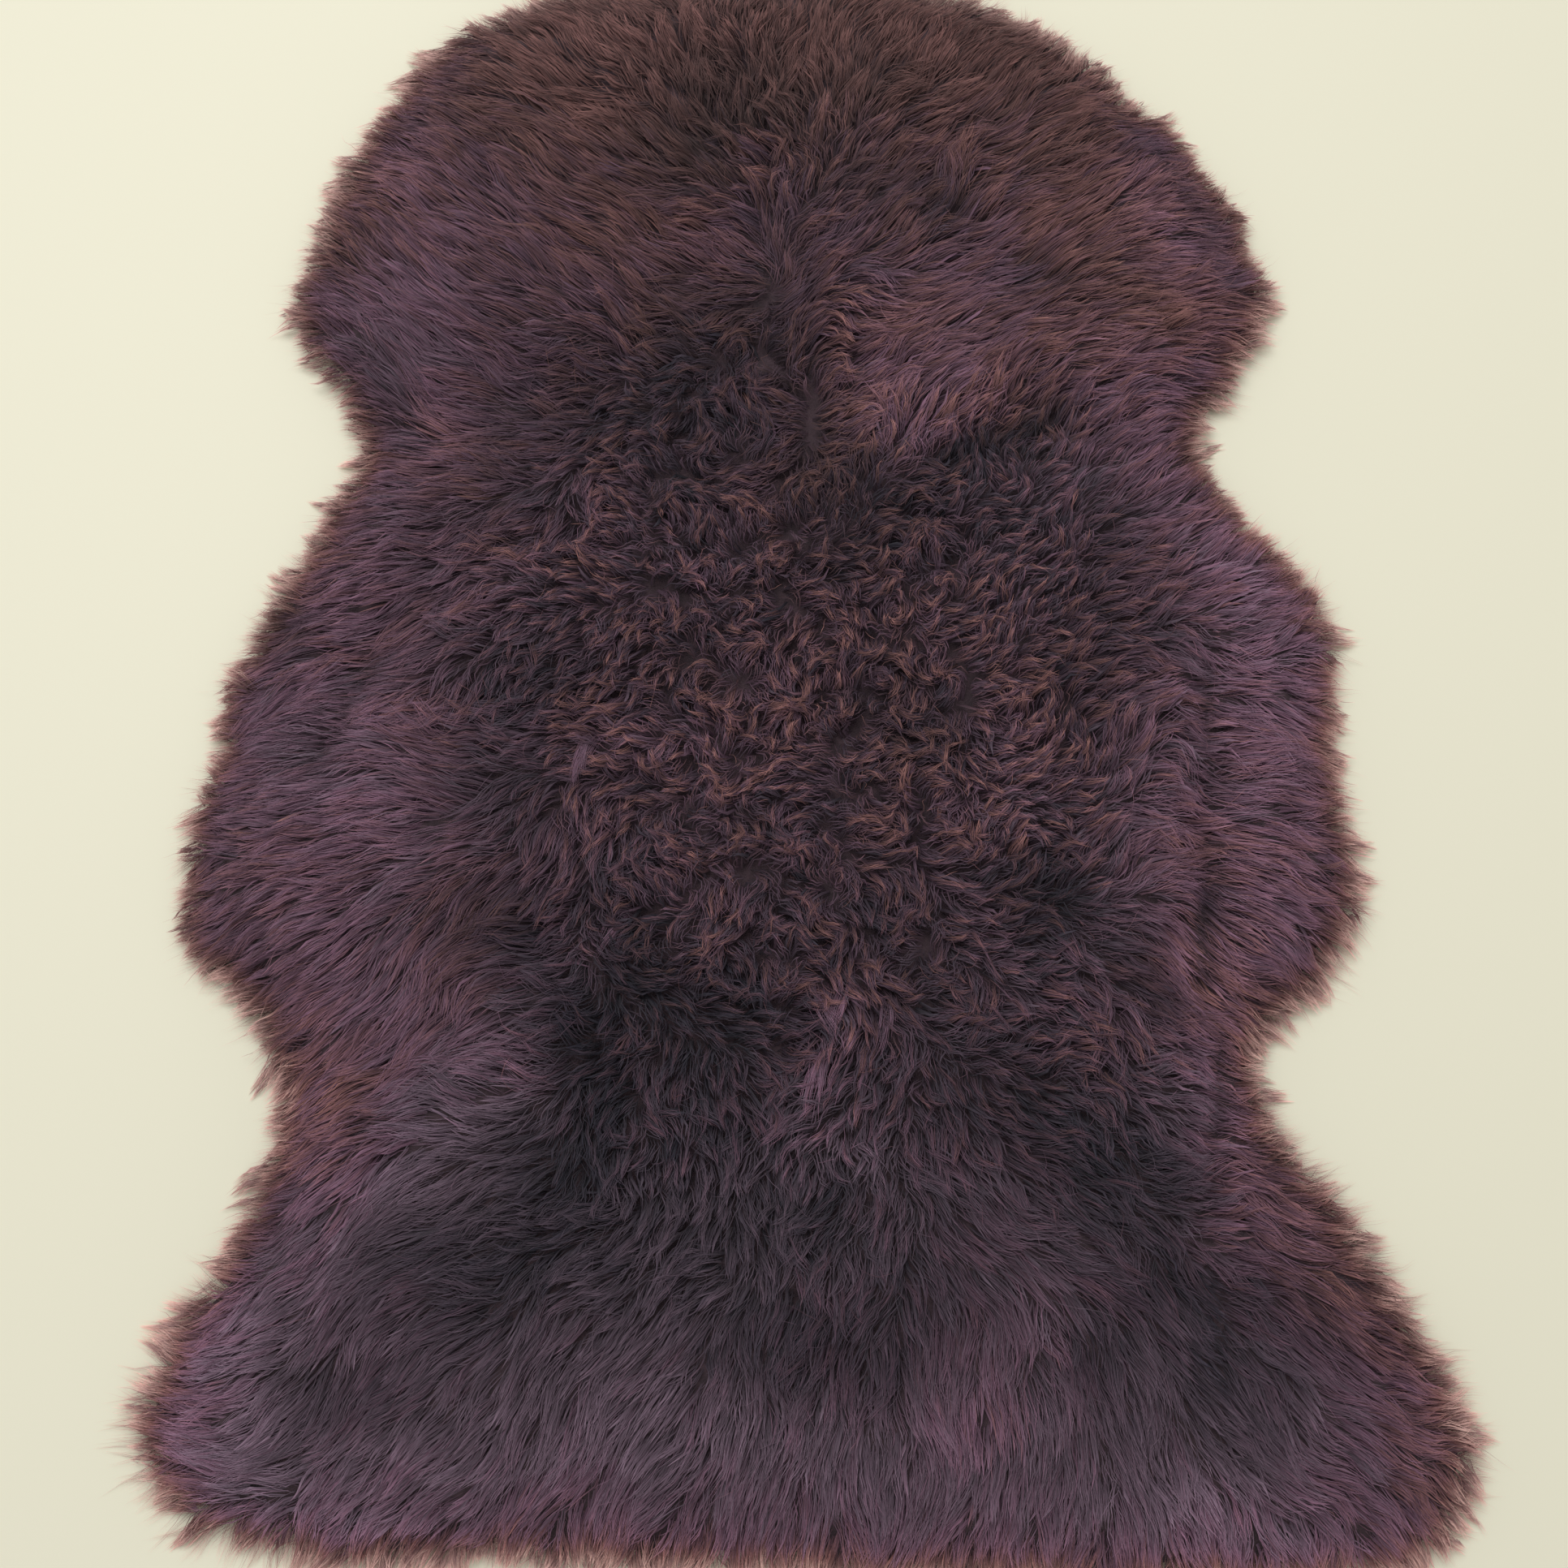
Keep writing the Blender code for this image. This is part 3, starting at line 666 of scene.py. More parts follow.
def strand_paths(rng, cut, axes, past, held_back, tangle, at_rim):
    """Paths of the strands of each lock, the lock of each, and how high in it each lies, from 0 to 1."""
    count = len(axes)
    lock = np.repeat(np.arange(count), cut.per_lock)
    strands = len(lock)
    t = np.linspace(0, 1, cut.segments + 1)[None]
    start = rng.uniform(*cut.start, strands)
    past = past + rng.uniform(*cut.past, count) - held_back
    past = np.minimum(past, MOST_PAST)[lock] - rng.uniform(0, 2 * MM, strands)
    reach = rng.uniform(0.72, 1.0, strands)
    parted = share_to_crease(axes, rng.uniform(-1, 1.5, count))[lock]
    reach = np.where(rng.uniform(0, 1, strands) < 0.7, np.minimum(reach, parted), reach)
    across = rng.normal(0, 0.5, strands)
    upward = rng.uniform(0, 1, strands)
    reach = np.minimum(reach, share_inside(axes[lock], past - 3 * MM * np.abs(across)))
    start = np.minimum(start, reach - 0.15)
    paths = resampled(axes[lock], start[:, None] + (reach - start)[:, None] * t)
    short = np.clip((reach - start) / 0.75, 0.1, 1)[:, None] ** 1.5
    ahead = unit(axes[lock, -1, :2] - axes[lock, 0, :2])
    side = np.stack([-ahead[:, 1], ahead[:, 0]], -1)
    tightness = rng.uniform(*cut.tightness, count) * (0.7 + 0.4 * tangle)
    gather = 1 - np.maximum(tightness, 0.85 * at_rim)[lock][:, None] * t**0.8
    frizz = rng.normal(0, 1, (strands, 2)) * short * FRIZZ
    turns = rng.uniform(0.8, 1.6, strands)[:, None] * t + rng.uniform(0, 1, strands)[:, None]
    crimp = np.sin(2 * math.pi * turns) * short * rng.uniform(0.2, 1.0, strands)[:, None] * FRIZZ
    sideways = across[:, None] * gather * cut.spread + crimp
    paths[..., :2] += side[:, None] * sideways[..., None]
    paths[..., :2] += frizz[:, None] * (t**1.5)[..., None]
    swell = np.maximum(1 - across**2, 0) * upward * 1.3 * MM
    paths[..., 2] += swell[:, None] * (0.4 + 0.6 * gather) + rng.normal(0, 0.35 * MM, strands)[:, None] * t
    paths[..., 2] = np.maximum(paths[..., 2], rng.uniform(0.5, 1.5, strands)[:, None] * MM)
    return paths, lock, upward


def locks(rng, clumps, roots, cut, owner=None, pull=(0.1, 0.4)):
    """Locks of strands at these roots, each part of its clump."""
    owner = nearest(roots, clumps.roots) if owner is None else owner
    count = len(roots)
    tangle = clumps.tangle[owner]
    offset = roots - clumps.roots[owner]
    at_rim = rim_share(clumps.plans[owner, -1])
    pointed = np.clip(brushed(clumps.plans[:, -1], LONGER) / 10, 0, 1)[owner]
    axes = lock_axes(rng, clumps, owner, roots, cut, pull, at_rim, pointed)
    held_back = (0.3 + 0.5 * pointed) * np.linalg.norm(offset, axis=1)
    paths, lock, upward = strand_paths(rng, cut, axes, clumps.past[owner], held_back, tangle, at_rim)
    strands = len(lock)
    t = np.linspace(0, 1, cut.segments + 1)[None]
    taper = (0.7 + 0.55 * t) * (1 - t**2.6)
    # Painted light on the crest of each clump, painted shade to its sides
    crest_painted_light = np.clip(1 - (offset**2).sum(-1) / CREST_REACH**2, -1, 1) * 0.05
    tone = cut.tone[0] + (cut.tone[1] - cut.tone[0]) * tangle + crest_painted_light + rng.normal(0, 0.07, count)
    tone += clumps.tone[owner]
    shown = axes[:, round(0.6 * STEPS), :2]
    # Painted shade and light from SHADES: the painted shade also dims each lock's own tone, and the rim is
    # painted lighter
    hollow = brushed(shown, SHADES)
    shade = tone * (1 + np.clip(0.65 * hollow, -0.5, 0)) + SHADE_SHARE * hollow + 0.1 * rim_share(shown)
    warm = clumps.warm[owner] + brushed(shown, WARMTHS) + WARM_BY_TONE * tone
    return Strands(
        cut.name,
        paths,
        rng.uniform(*cut.width, strands)[:, None] * taper,
        rng.normal(0, 0.4, strands),
        # Strands lying higher in a lock are painted lighter and lower ones darker, painted light and shade
        shade[lock] + rng.normal(0, 0.09, strands) + 0.1 * (upward - 0.5),
        np.clip(warm[lock] + rng.normal(0, 0.07, strands), 0, BROWN_AT),
    )


def fringe(name, rng, pitch, per_wisp, length, width, segments):
    """Wisps of fine strands from the whole height of the rim, out to just past the pelt's edge."""
    roots = scattered(rng, pitch, 1.5 * MM, RIM_WIDTH)
    count = len(roots)
    stray = 0.15 * TURN(roots) + rng.normal(0, 0.12, count)
    bend = 0.2 * BEND(roots) + rng.normal(0, 0.25, count)
    phase = rng.uniform(0, 2 * math.pi, count)
    plan = lock_plan(roots, rng.uniform(*length, count), stray, bend, rng.uniform(0, 0.1, count), phase, 0.35)
    owner = np.repeat(np.arange(count), per_wisp)
    strands = len(owner)
    gathered = rng.uniform(0, 1, strands) < 0.55
    drawn = np.where(gathered, rng.uniform(0.6, 0.95, strands), 0.1)[:, None]
    offset = rng.normal(0, 0.45 * pitch, (strands, 2))
    plan = plan[owner] + offset[:, None] * (1 - drawn * np.minimum(2 * ALONG, 1))[..., None]
    level = rng.uniform(0, 1, strands)[:, None]
    height = wool_top(plan) * (level + (0.85 - level) * ALONG * 0.5) + 0.8 * MM * level
    axes = np.concatenate([plan, height[..., None]], -1)
    t = np.linspace(0, 1, segments + 1)[None]
    longer = np.maximum(brushed(roots, LONGER), 0) * MM
    wisp_past = np.minimum(4.0 * MM + rng.exponential(3.6 * MM, count), 16 * MM)
    wisp_past += longer * rng.uniform(0, 1, count)
    loose_past = np.minimum(4.0 * MM + rng.exponential(3.0 * MM, strands), 13 * MM) + 0.5 * longer[owner]
    past = np.where(gathered, wisp_past[owner] - rng.uniform(0, 3 * MM, strands), loose_past)
    past += np.where(rng.uniform(0, 1, strands) < 0.07, rng.uniform(4 * MM, 12 * MM, strands), 0)
    paths = resampled(axes, share_inside(axes, past)[:, None] * t)
    paths[..., 2] = np.maximum(paths[..., 2], rng.uniform(0.4, 2.0, strands)[:, None] * MM)
    taper = (0.9 + 0.2 * t) * (1 - t**1.5)
    return Strands(
        name,
        paths,
        rng.uniform(*width, strands)[:, None] * taper,
        rng.normal(0, 0.5, strands),
        # The fringe is a little lighter, painted light like the rest of the rim
        rng.normal(0, 0.1, count)[owner] + rng.normal(0.14, 0.1, strands),
        np.clip(rng.normal(0.4, 0.1, strands), 0.1, BROWN_AT),
    )


def tufts(name, rng, width, segments):
    """The single tufts, one beside the other in the list, each a bundle of wisps."""
    rows = np.array(TUFTS, float)
    rows = np.repeat(rows, np.ceil(rows[:, 6] / PER_WISP).astype(int), axis=0)
    x, y, heading, length, bend, spread, _, tone, warm = rows.T
    wisps = len(rows)
    beside = np.clip(rng.normal(0, 0.55, wisps), -1.2, 1.2)
    start = rng.uniform(0, 0.3, wisps)
    heading = np.radians(heading) + rng.normal(0, 0.1, wisps)
    reach = rng.uniform(0.65, 1.0, wisps) - start
    tone = tone + rng.normal(0, 0.1, wisps)
    owner = np.repeat(np.arange(wisps), PER_WISP)
    strands = len(owner)
    way = np.stack([np.cos(heading), np.sin(heading)], -1)
    side = np.stack([-way[:, 1], way[:, 0]], -1)
    at = np.stack([x, y], -1) * MM + way * (start * length * MM)[:, None]
    for _ in range(20):
        at = at - way * np.maximum(TUFT_INSET - INWARD(at), 0)[:, None] / 2
    plan = [at]
    for step in range(STEPS):
        turn = bend * (step + 0.5) / STEPS
        at = at + turned(way, turn) * (reach * length * MM / STEPS)[:, None]
        plan.append(at)
    gather = np.sin(np.pi * (0.3 + 0.6 * ALONG))
    plan = np.stack(plan, 1) + side[:, None] * (beside * spread * MM)[:, None, None] * gather[..., None]
    across = rng.normal(0, 0.5, strands)
    apart = (across * 2.4 * MM)[:, None, None] * (1 - 0.6 * ALONG)[..., None]
    plan = plan[owner] + side[owner][:, None] * apart
    plan = plan + rng.normal(0, 0.9 * MM, (strands, 1, 2)) * ALONG[..., None]
    rise = (1.2 + 2.2 * np.maximum(1 - beside**2, 0)[owner] + 1.0 * np.maximum(1 - across**2, 0)) * MM
    height = wool_top(plan) - 6 * MM * (1 - ALONG) ** 3 + rise[:, None] * np.sin(np.pi * ALONG**0.7) ** 0.6
    axes = np.concatenate([plan, height[..., None]], -1)
    t = np.linspace(0, 1, segments + 1)[None]
    paths = resampled(axes, rng.uniform(0.55, 1.0, strands)[:, None] * t)
    taper = (0.8 + 0.4 * t) * (1 - t**2.6)
    return Strands(
        name,
        paths,
        rng.uniform(*width, strands)[:, None] * taper,
        rng.normal(0, 0.4, strands),
        tone[owner] + rng.normal(0, 0.1, strands),
        np.clip(warm[owner] + rng.normal(0, 0.06, strands), 0, 1),
    )


def bare_spots(batches, cell, layers, least_inward):
    """Middles of the cells that the strands cover fewer than this many times."""
    low = PLAN_LOW - STRAND_MARGIN
    size = np.ceil((PLAN_HIGH + STRAND_MARGIN - low) / cell).astype(int)
    covered = np.zeros(size[1] * size[0])
    for batch in batches:
        mids = (batch.paths[:, 1:] + batch.paths[:, :-1])[..., :2] / 2
        lengths = np.linalg.norm(np.diff(batch.paths, axis=1)[..., :2], axis=-1)
        spots = np.clip(((mids - low) / cell).astype(int), 0, size - 1)
        areas = lengths * (batch.widths[:, 1:] + batch.widths[:, :-1]) / 2
        np.add.at(covered, (spots[..., 1] * size[0] + spots[..., 0]).ravel(), areas.ravel())
    rows, columns = np.divmod(np.flatnonzero(covered < layers * cell**2), size[0])
    points = low + (np.stack([columns, rows], -1) + 0.5) * cell
    return points[INWARD(points) > least_inward]


def strand_meshes(batches, material):
    """Meshes of the strands, each under MOST_TRIANGLES, in bands from tail to neck."""
    made = []
    for batch in batches:
        triangles = 2 * (batch.paths.shape[1] - 2) + 1
        pieces = max(1, math.ceil(len(batch.paths) * triangles / MOST_TRIANGLES))
        order = np.argsort(batch.paths[:, 0, 1], kind="stable")
        for index, chosen in enumerate(np.array_split(order, pieces)):
            part = Strands(f"{batch.name}_{index + 1}", *(column[chosen] for column in batch[1:]))
            made.append(strand_mesh(part, material))
    return made


def placed(data, material=None):
    """A new object of this mesh, light or camera, in the scene."""
    if material:
        data.materials.append(material)
    obj = bpy.data.objects.new(data.name, data)
    bpy.context.scene.collection.objects.link(obj)
    return obj


def stepped(values, steps):
    """Values rounded to that many steps from 0 to 1."""
    return np.clip(np.round(values * (steps - 1)), 0, steps - 1) / (steps - 1)


def ribbons(left, right, tips):
    """The two points of each ring in turn, then the tip, for each strand."""
    body = np.stack([left, right], 2).reshape(len(left), -1, 3)
    return np.concatenate([body, tips], 1)


def strand_mesh(strands, material):
    """One mesh of flat tapered strands, shaded as if each were round."""
    paths, widths = strands.paths, strands.widths
    count, points = paths.shape[:2]
    rings = points - 1
    tangents = unit(np.gradient(paths, axis=1))
    side = unit(np.cross(tangents, (0, 0, 1)), 1e-6)
    over = np.cross(side, tangents)
    c, s = np.cos(strands.rolls)[:, None, None], np.sin(strands.rolls)[:, None, None]
    side, over = side * c + over * s, over * c - side * s
    middle = paths[:, :rings]
    half = side[:, :rings] * widths[:, :rings, None] / 2
    vertices = ribbons(middle - half, middle + half, paths[:, rings:])
    vertices[..., 2] = np.maximum(vertices[..., 2], LEAST_CLEARANCE)
    lean = math.tan(NORMAL_SPREAD) * side[:, :rings]
    shown = over + np.array([0, 0, NORMAL_LIFT])
    normals = unit(ribbons(shown[:, :rings] - lean, shown[:, :rings] + lean, shown[:, rings:]))
    stride = rings * 2 + 1
    base = (np.arange(count) * stride)[:, None]
    quads = np.concatenate([base + (2 * k + np.array([0, 1, 3, 2]))[None] for k in range(rings - 1)], 1)
    tip = base + np.array([2 * rings - 2, 2 * rings - 1, 2 * rings])[None]
    loops = np.concatenate([quads, tip], 1).reshape(-1)
    sizes = np.tile([4] * (rings - 1) + [3], count)
    mesh = bpy.data.meshes.new(strands.name)
    mesh.vertices.add(count * stride)
    mesh.vertices.foreach_set("co", vertices.reshape(-1).astype(np.float32))
    mesh.loops.add(len(loops))
    mesh.loops.foreach_set("vertex_index", loops.astype(np.int32))
    mesh.polygons.add(len(sizes))
    mesh.polygons.foreach_set("loop_start", (np.cumsum(sizes) - sizes).astype(np.int32))
    mesh.update(calc_edges=True)
    mesh.polygons.foreach_set("use_smooth", np.ones(len(sizes), bool))
    # The rim is painted lighter and pinker towards the edge, a painted glow of light through its thin hair
    rim = np.clip(1 - (INWARD(paths) + 2 * MM) / RIM_WIDTH, 0, 1.15) ** 2
    # Each point of a strand takes painted shade and light from SHADES and painted shade in the creases
    tone = strands.tone[:, None] + SHADE_SHARE * brushed(paths, SHADES) + crease_painted_shade(paths) + RIM_PAINTED_LIGHT * rim
    tone = stepped(0.5 + tone / 2, TONES)
    warm = stepped(strands.warm[:, None] + RIM_PAINTED_GLOW * rim, WARMS)
    ring = np.append(np.repeat(np.arange(rings), 2), rings)
    across = np.append(np.tile([0.0, 1.0], rings), 0.5)
    colour_by(
        mesh,
        tone=tone[:, ring].reshape(-1),
        warm=warm[:, ring].reshape(-1),
        along=np.tile(ring / rings, count),
        across=np.tile(across, count),
    )
    mesh.normals_split_custom_set_from_vertices(normals.reshape(-1, 3).astype(np.float32))
    return placed(mesh, material)


def colour_by(mesh, **looks):
    """Stores what the wool's material reads, and a map in which like strands share one place."""
    for key, values in looks.items():
        mesh.attributes.new(key, "FLOAT", "POINT").data.foreach_set("value", values.astype(np.float32))
    index = np.empty(len(mesh.loops), np.int32)
    mesh.loops.foreach_get("vertex_index", index)
    tone, warm, along, across = (looks[key][index] for key in LOOKS)
    u = (np.round(tone * (TONES - 1)) + 0.1 + 0.8 * across) / TONES
    v = (np.round(warm * (WARMS - 1)) + 0.04 + 0.92 * along) / WARMS
    layer = mesh.uv_layers.new(name="OFBake")
    layer.data.foreach_set("uv", np.stack([u, v], -1).reshape(-1).astype(np.float32))


# Materials


def new_material(name):
    """A material with a plain principled shader."""
    material = bpy.data.materials.new(name)
    material.use_nodes = True
    material.node_tree.nodes.clear()
    output = node(material.node_tree, "ShaderNodeOutputMaterial")
    shader = node(material.node_tree, "ShaderNodeBsdfPrincipled")
    link(shader.outputs["BSDF"], output.inputs["Surface"])
    return material, shader


def node(tree, kind, **settings):
    """A new node with these settings."""
    made = tree.nodes.new(kind)
    for key, value in settings.items():
        setattr(made, key, value)
    return made


def set_inputs(target, **values):
    """Sets inputs of a node, an underscore standing for a space."""
    for key, value in values.items():
        target.inputs[key.replace("_", " ")].default_value = value


def link(source, target):
    source.id_data.links.new(source, target)


def ramp(source, stops):
    """The colours of the stops, (place, colour), blended along the source."""
    made = node(source.id_data, "ShaderNodeValToRGB")
    elements = made.color_ramp.elements
    elements[0].position, elements[0].color = stops[0][0], (*stops[0][1], 1)
    elements[1].position, elements[1].color = stops[-1][0], (*stops[-1][1], 1)
    for position, colour in stops[1:-1]:
        elements.new(position).color = (*colour, 1)
    link(source, made.inputs["Fac"])
    return made.outputs["Color"]


def mixed(factor, first, second, blend="MIX"):
    """Two colours, blended by the factor."""
    made = node(first.id_data, "ShaderNodeMix", data_type="RGBA", blend_type=blend)
    link(first, made.inputs[6])
    link(second, made.inputs[7])
    if isinstance(factor, bpy.types.NodeSocket):
        link(factor, made.inputs[0])
    else:
        made.inputs[0].default_value = factor
    return made.outputs[2]


def noise(place, scale, detail=2):
    """Smooth random values at each place."""
    made = node(place.id_data, "ShaderNodeTexNoise")
    set_inputs(made, Scale=scale, Detail=detail)
    link(place, made.inputs["Vector"])
    return made.outputs["Fac"]


def ranged(source, low, high):
    """0 at low to 1 at high."""
    made = node(source.id_data, "ShaderNodeMapRange")
    set_inputs(made, From_Min=low, From_Max=high)
    link(source, made.inputs["Value"])
    return made.outputs["Result"]


def summed(first, first_share, second, second_share):
    """Each source times its share, added."""
    scaled = node(first.id_data, "ShaderNodeMath", operation="MULTIPLY")
    link(second, scaled.inputs[0])
    scaled.inputs[1].default_value = second_share
    made = node(first.id_data, "ShaderNodeMath", operation="MULTIPLY_ADD")
    link(first, made.inputs[0])
    made.inputs[1].default_value = first_share
    link(scaled.outputs[0], made.inputs[2])
    return made.outputs[0]


# Colours of a fibre from root to tip, darker at the root partly by its own colour and partly as painted shade
# deep in the wool, and what each tone multiplies them by
ASH = [(0.0, (0.048, 0.034, 0.047)), (0.45, (0.082, 0.0545, 0.0790)), (1.0, (0.165, 0.110, 0.155))]
MAUVE = [(0.0, (0.057, 0.0285, 0.048)), (0.45, (0.089, 0.0455, 0.0720)), (1.0, (0.174, 0.089, 0.140))]
BROWN = [(0.0, (0.042, 0.019, 0.021)), (0.45, (0.077, 0.0325, 0.0320)), (1.0, (0.190, 0.084, 0.080))]
# The rim's pink, a painted glow of light through its thin hair
RIM = [(0.0, (0.110, 0.064, 0.066)), (0.45, (0.200, 0.120, 0.115)), (1.0, (0.44, 0.29, 0.26))]
# At the dark end the tones turn bluish, a painted veil of flare light over the shade
SHADE_RAMP = [(0.0, (0.15, 0.20, 0.24)), (0.5, (1.0, 1.0, 1.0)), (1.0, (2.3, 2.3, 2.3))]


def wool_material():
    """Fibres lighter from root to tip, partly painted shade at the roots; ashen, mauve, brown or, at the rim,
    a painted pink glow; each in its own tone, which carries painted shade and light.
    """
    material, shader = new_material("wool_fibres")
    tree = material.node_tree
    tone, warm, along, across = (
        node(tree, "ShaderNodeAttribute", attribute_name=name).outputs["Fac"] for name in LOOKS
    )
    colour = ramp(along, ASH)
    for low, high, stops in ((0, MAUVE_AT, MAUVE), (MAUVE_AT, BROWN_AT, BROWN), (BROWN_AT, 1, RIM)):
        colour = mixed(ranged(warm, low, high), colour, ramp(along, stops))
    colour = mixed(1.0, colour, ramp(tone, SHADE_RAMP), "MULTIPLY")
    spot = node(tree, "ShaderNodeCombineXYZ")
    link(summed(across, 1.6, tone, 61.0), spot.inputs["X"])
    link(summed(along, 0.9, warm, 17.0), spot.inputs["Y"])
    streaks = noise(spot.outputs["Vector"], 2.2, 1)
    streak = ramp(streaks, [(0.3, (0.68,) * 3), (0.7, (1.3,) * 3)])
    link(mixed(1.0, colour, streak, "MULTIPLY"), shader.inputs["Base Color"])
    set_inputs(shader, Roughness=0.62, Specular_IOR_Level=0.25)
    set_inputs(shader, Sheen_Weight=0.2, Sheen_Roughness=0.45, Sheen_Tint=(0.80, 0.64, 0.70, 1))
    return material


def rough_material(name, roughness, dark, light, blotches, detail, grain, strength, depth):
    """A matt surface in blotches of two colours, with a finer bumped grain."""
    material, shader = new_material(name)
    place = node(material.node_tree, "ShaderNodeTexCoord").outputs["Object"]
    colour = ramp(noise(place, blotches, detail), [(0.3, dark), (0.7, light)])
    link(colour, shader.inputs["Base Color"])
    set_inputs(shader, Roughness=roughness)
    bump = node(material.node_tree, "ShaderNodeBump")
    set_inputs(bump, Strength=strength, Distance=depth)
    link(noise(place, grain), bump.inputs["Height"])
    link(bump.outputs["Normal"], shader.inputs["Normal"])
    return material


def undercoat_material():
    """Dense wool seen between the locks, painted dark for the shade deep between them."""
    dark, light = (0.026, 0.015, 0.021), (0.060, 0.034, 0.045)
    return rough_material("wool_undercoat", 0.9, dark, light, 140, 4, 900, 0.6, 2 * MM)


def hide_material():
    """Suede of the flesh side."""
    dark, light = (0.30, 0.20, 0.14), (0.46, 0.34, 0.25)
    return rough_material("tanned_hide", 0.85, dark, light, 14, 6, 700, 0.35, 0.6 * MM)


# Hide and undercoat


def closed_shell(name, cell, inset, top_of, bottom, material):
    """A closed mesh over the cells that lie further in than the inset, its rim eased, and their area."""
    columns, rows = np.ceil((PLAN_HIGH - PLAN_LOW) / cell).astype(int) + 1
    places = PLAN_LOW + np.stack(np.meshgrid(np.arange(columns), np.arange(rows)), -1) * cell
    kept = INWARD(places) > inset
    full = kept[:-1, :-1] & kept[1:, :-1] & kept[:-1, 1:] & kept[1:, 1:]
    build = bmesh.new()
    top = {}
    for row, column in np.argwhere(full):
        corners = ((row, column), (row, column + 1), (row + 1, column + 1), (row + 1, column))
        for corner in corners:
            if corner not in top:
                top[corner] = build.verts.new((*places[corner], 0))
        build.faces.new([top[corner] for corner in corners])
    rim = [e for e in build.edges if len(e.link_faces) == 1]
    loops = {v for e in rim for v in e.verts}
    for _ in range(4):
        moved = {}
        for v in loops:
            near = [e.other_vert(v).co for e in v.link_edges if len(e.link_faces) == 1]
            if len(near) == 2:
                moved[v] = v.co * 0.5 + (near[0] + near[1]) * 0.25
        for v, co in moved.items():
            v.co = co
    for v in build.verts:
        v.co.z = top_of(np.array(v.co[:2]))
    made = bmesh.ops.extrude_edge_only(build, edges=rim)
    lower = [v for v in made["geom"] if isinstance(v, bmesh.types.BMVert)]
    for v in lower:
        v.co.z = bottom
    edges = [e for e in made["geom"] if isinstance(e, bmesh.types.BMEdge) and len(e.link_faces) == 1]
    bmesh.ops.triangle_fill(build, use_beauty=True, edges=edges)
    bmesh.ops.recalc_face_normals(build, faces=build.faces)
    mesh = bpy.data.meshes.new(name)
    build.to_mesh(mesh)
    build.free()
    mesh.polygons.foreach_set("use_smooth", np.ones(len(mesh.polygons), bool))
    return placed(mesh, material), float(full.sum() * cell**2)


RUMPLE = noise_field(np.random.default_rng(SEED + 1), 9 * MM)


def undercoat_top(point):
    """Height of the undercoat, deeper under the tangled wool, and never below the least."""
    ease = min(1.0, max(0.0, float(INWARD(point)) / RIM_WIDTH))
    depth = UNDERCOAT_DEPTH * (1 + 0.6 * min(1.0, float(brushed(point, TANGLES))))
    height = float(wool_top(point)) - depth + float(RUMPLE(point)) * UNDERCOAT_RUMPLE * ease
    return max(height, UNDERCOAT_FLOOR + UNDERCOAT_LEAST)


undercoat, _ = closed_shell(
    "undercoat", UNDERCOAT_CELL, UNDERCOAT_INSET, undercoat_top, UNDERCOAT_FLOOR, undercoat_material()
)
hide, hide_area = closed_shell(
    "hide", HIDE_CELL, HIDE_INSET, lambda point: HIDE_THICKNESS, 0.0, hide_material()
)

# Locks and strands, from the deepest to the loosest

# Each cut's tone runs from combed to tangled: in the tangles the lower cuts are darker, partly painted shade
# among the curls, and the wisps and flyaways lighter, partly painted highlight on their tips
UNDERWOOL = Cut(
    "underwool", per_lock=1, width=mm(1.5, 2.6), depth=8 * MM, crest=-1.6 * MM, spread=3 * MM,
    start=(0, 0.1), past=mm(2, 6), tightness=(0.1, 0.3), tone=(0.02, -0.5),
)
FLEECE = Cut(
    "fleece", per_lock=4, width=mm(0.38, 0.66), depth=9 * MM, crest=0.6 * MM, spread=4.4 * MM,
    start=(0, 0.12), past=mm(1, 8), tightness=(0.4, 0.85), tone=(0.02, -0.4),
)
WISPS = Cut(
    "wisps", per_lock=7, width=mm(0.3, 0.5), depth=5 * MM, crest=1.6 * MM, spread=2.4 * MM,
    start=(0.2, 0.4), past=mm(2, 8), tightness=(0.65, 0.95), tone=(0.04, 0.5),
)
FLYAWAY = Cut(
    "flyaway", per_lock=1, segments=4, width=mm(0.24, 0.36), depth=5 * MM, crest=2.6 * MM, spread=2 * MM,
    start=(0.25, 0.5), past=mm(2, 9), tightness=(0, 0.1), tone=(0.15, 0.5),
)
INFILL = Cut(
    "infill", per_lock=5, width=mm(0.5, 0.8), depth=3 * MM, crest=-0.8 * MM, spread=5 * MM,
    start=(0, 0.1), past=mm(-4, 1), tightness=(0.1, 0.3), tone=(0.02, -0.35),
)

rng = np.random.default_rng(SEED + 2)
centres = scattered(rng, 8.8 * MM, 3 * MM)
tangles = np.clip(brushed(centres, TANGLES), 0, 1)
centres = centres[rng.uniform(0, 1, len(centres)) < 0.55 + 0.45 * tangles]
clumps = clumps_at(rng, centres, mm(30, 44))
underwool = locks(rng, clumps, scattered(rng, 6.3 * MM, 4 * MM), UNDERWOOL, pull=(0, 0.2))
fleece = locks(rng, clumps, scattered(rng, 4.95 * MM, 3 * MM), FLEECE)
wisp_roots = centres + rng.normal(0, 1.5 * MM, centres.shape)
wisps = locks(rng, clumps, wisp_roots, WISPS, np.arange(len(centres)))
batches = [
    underwool,
    fleece,
    wisps,
    fringe("fringe", rng, pitch=4.6 * MM, per_wisp=5, length=mm(24, 42), width=mm(0.16, 0.30), segments=3),
    tufts("tufts", rng, width=mm(0.25, 0.42), segments=5),
]
gaps = bare_spots([underwool, fleece, wisps], cell=5 * MM, layers=1.1, least_inward=5 * MM)
gaps = gaps - combed(gaps) * 5 * MM + rng.uniform(-2 * MM, 2 * MM, gaps.shape)
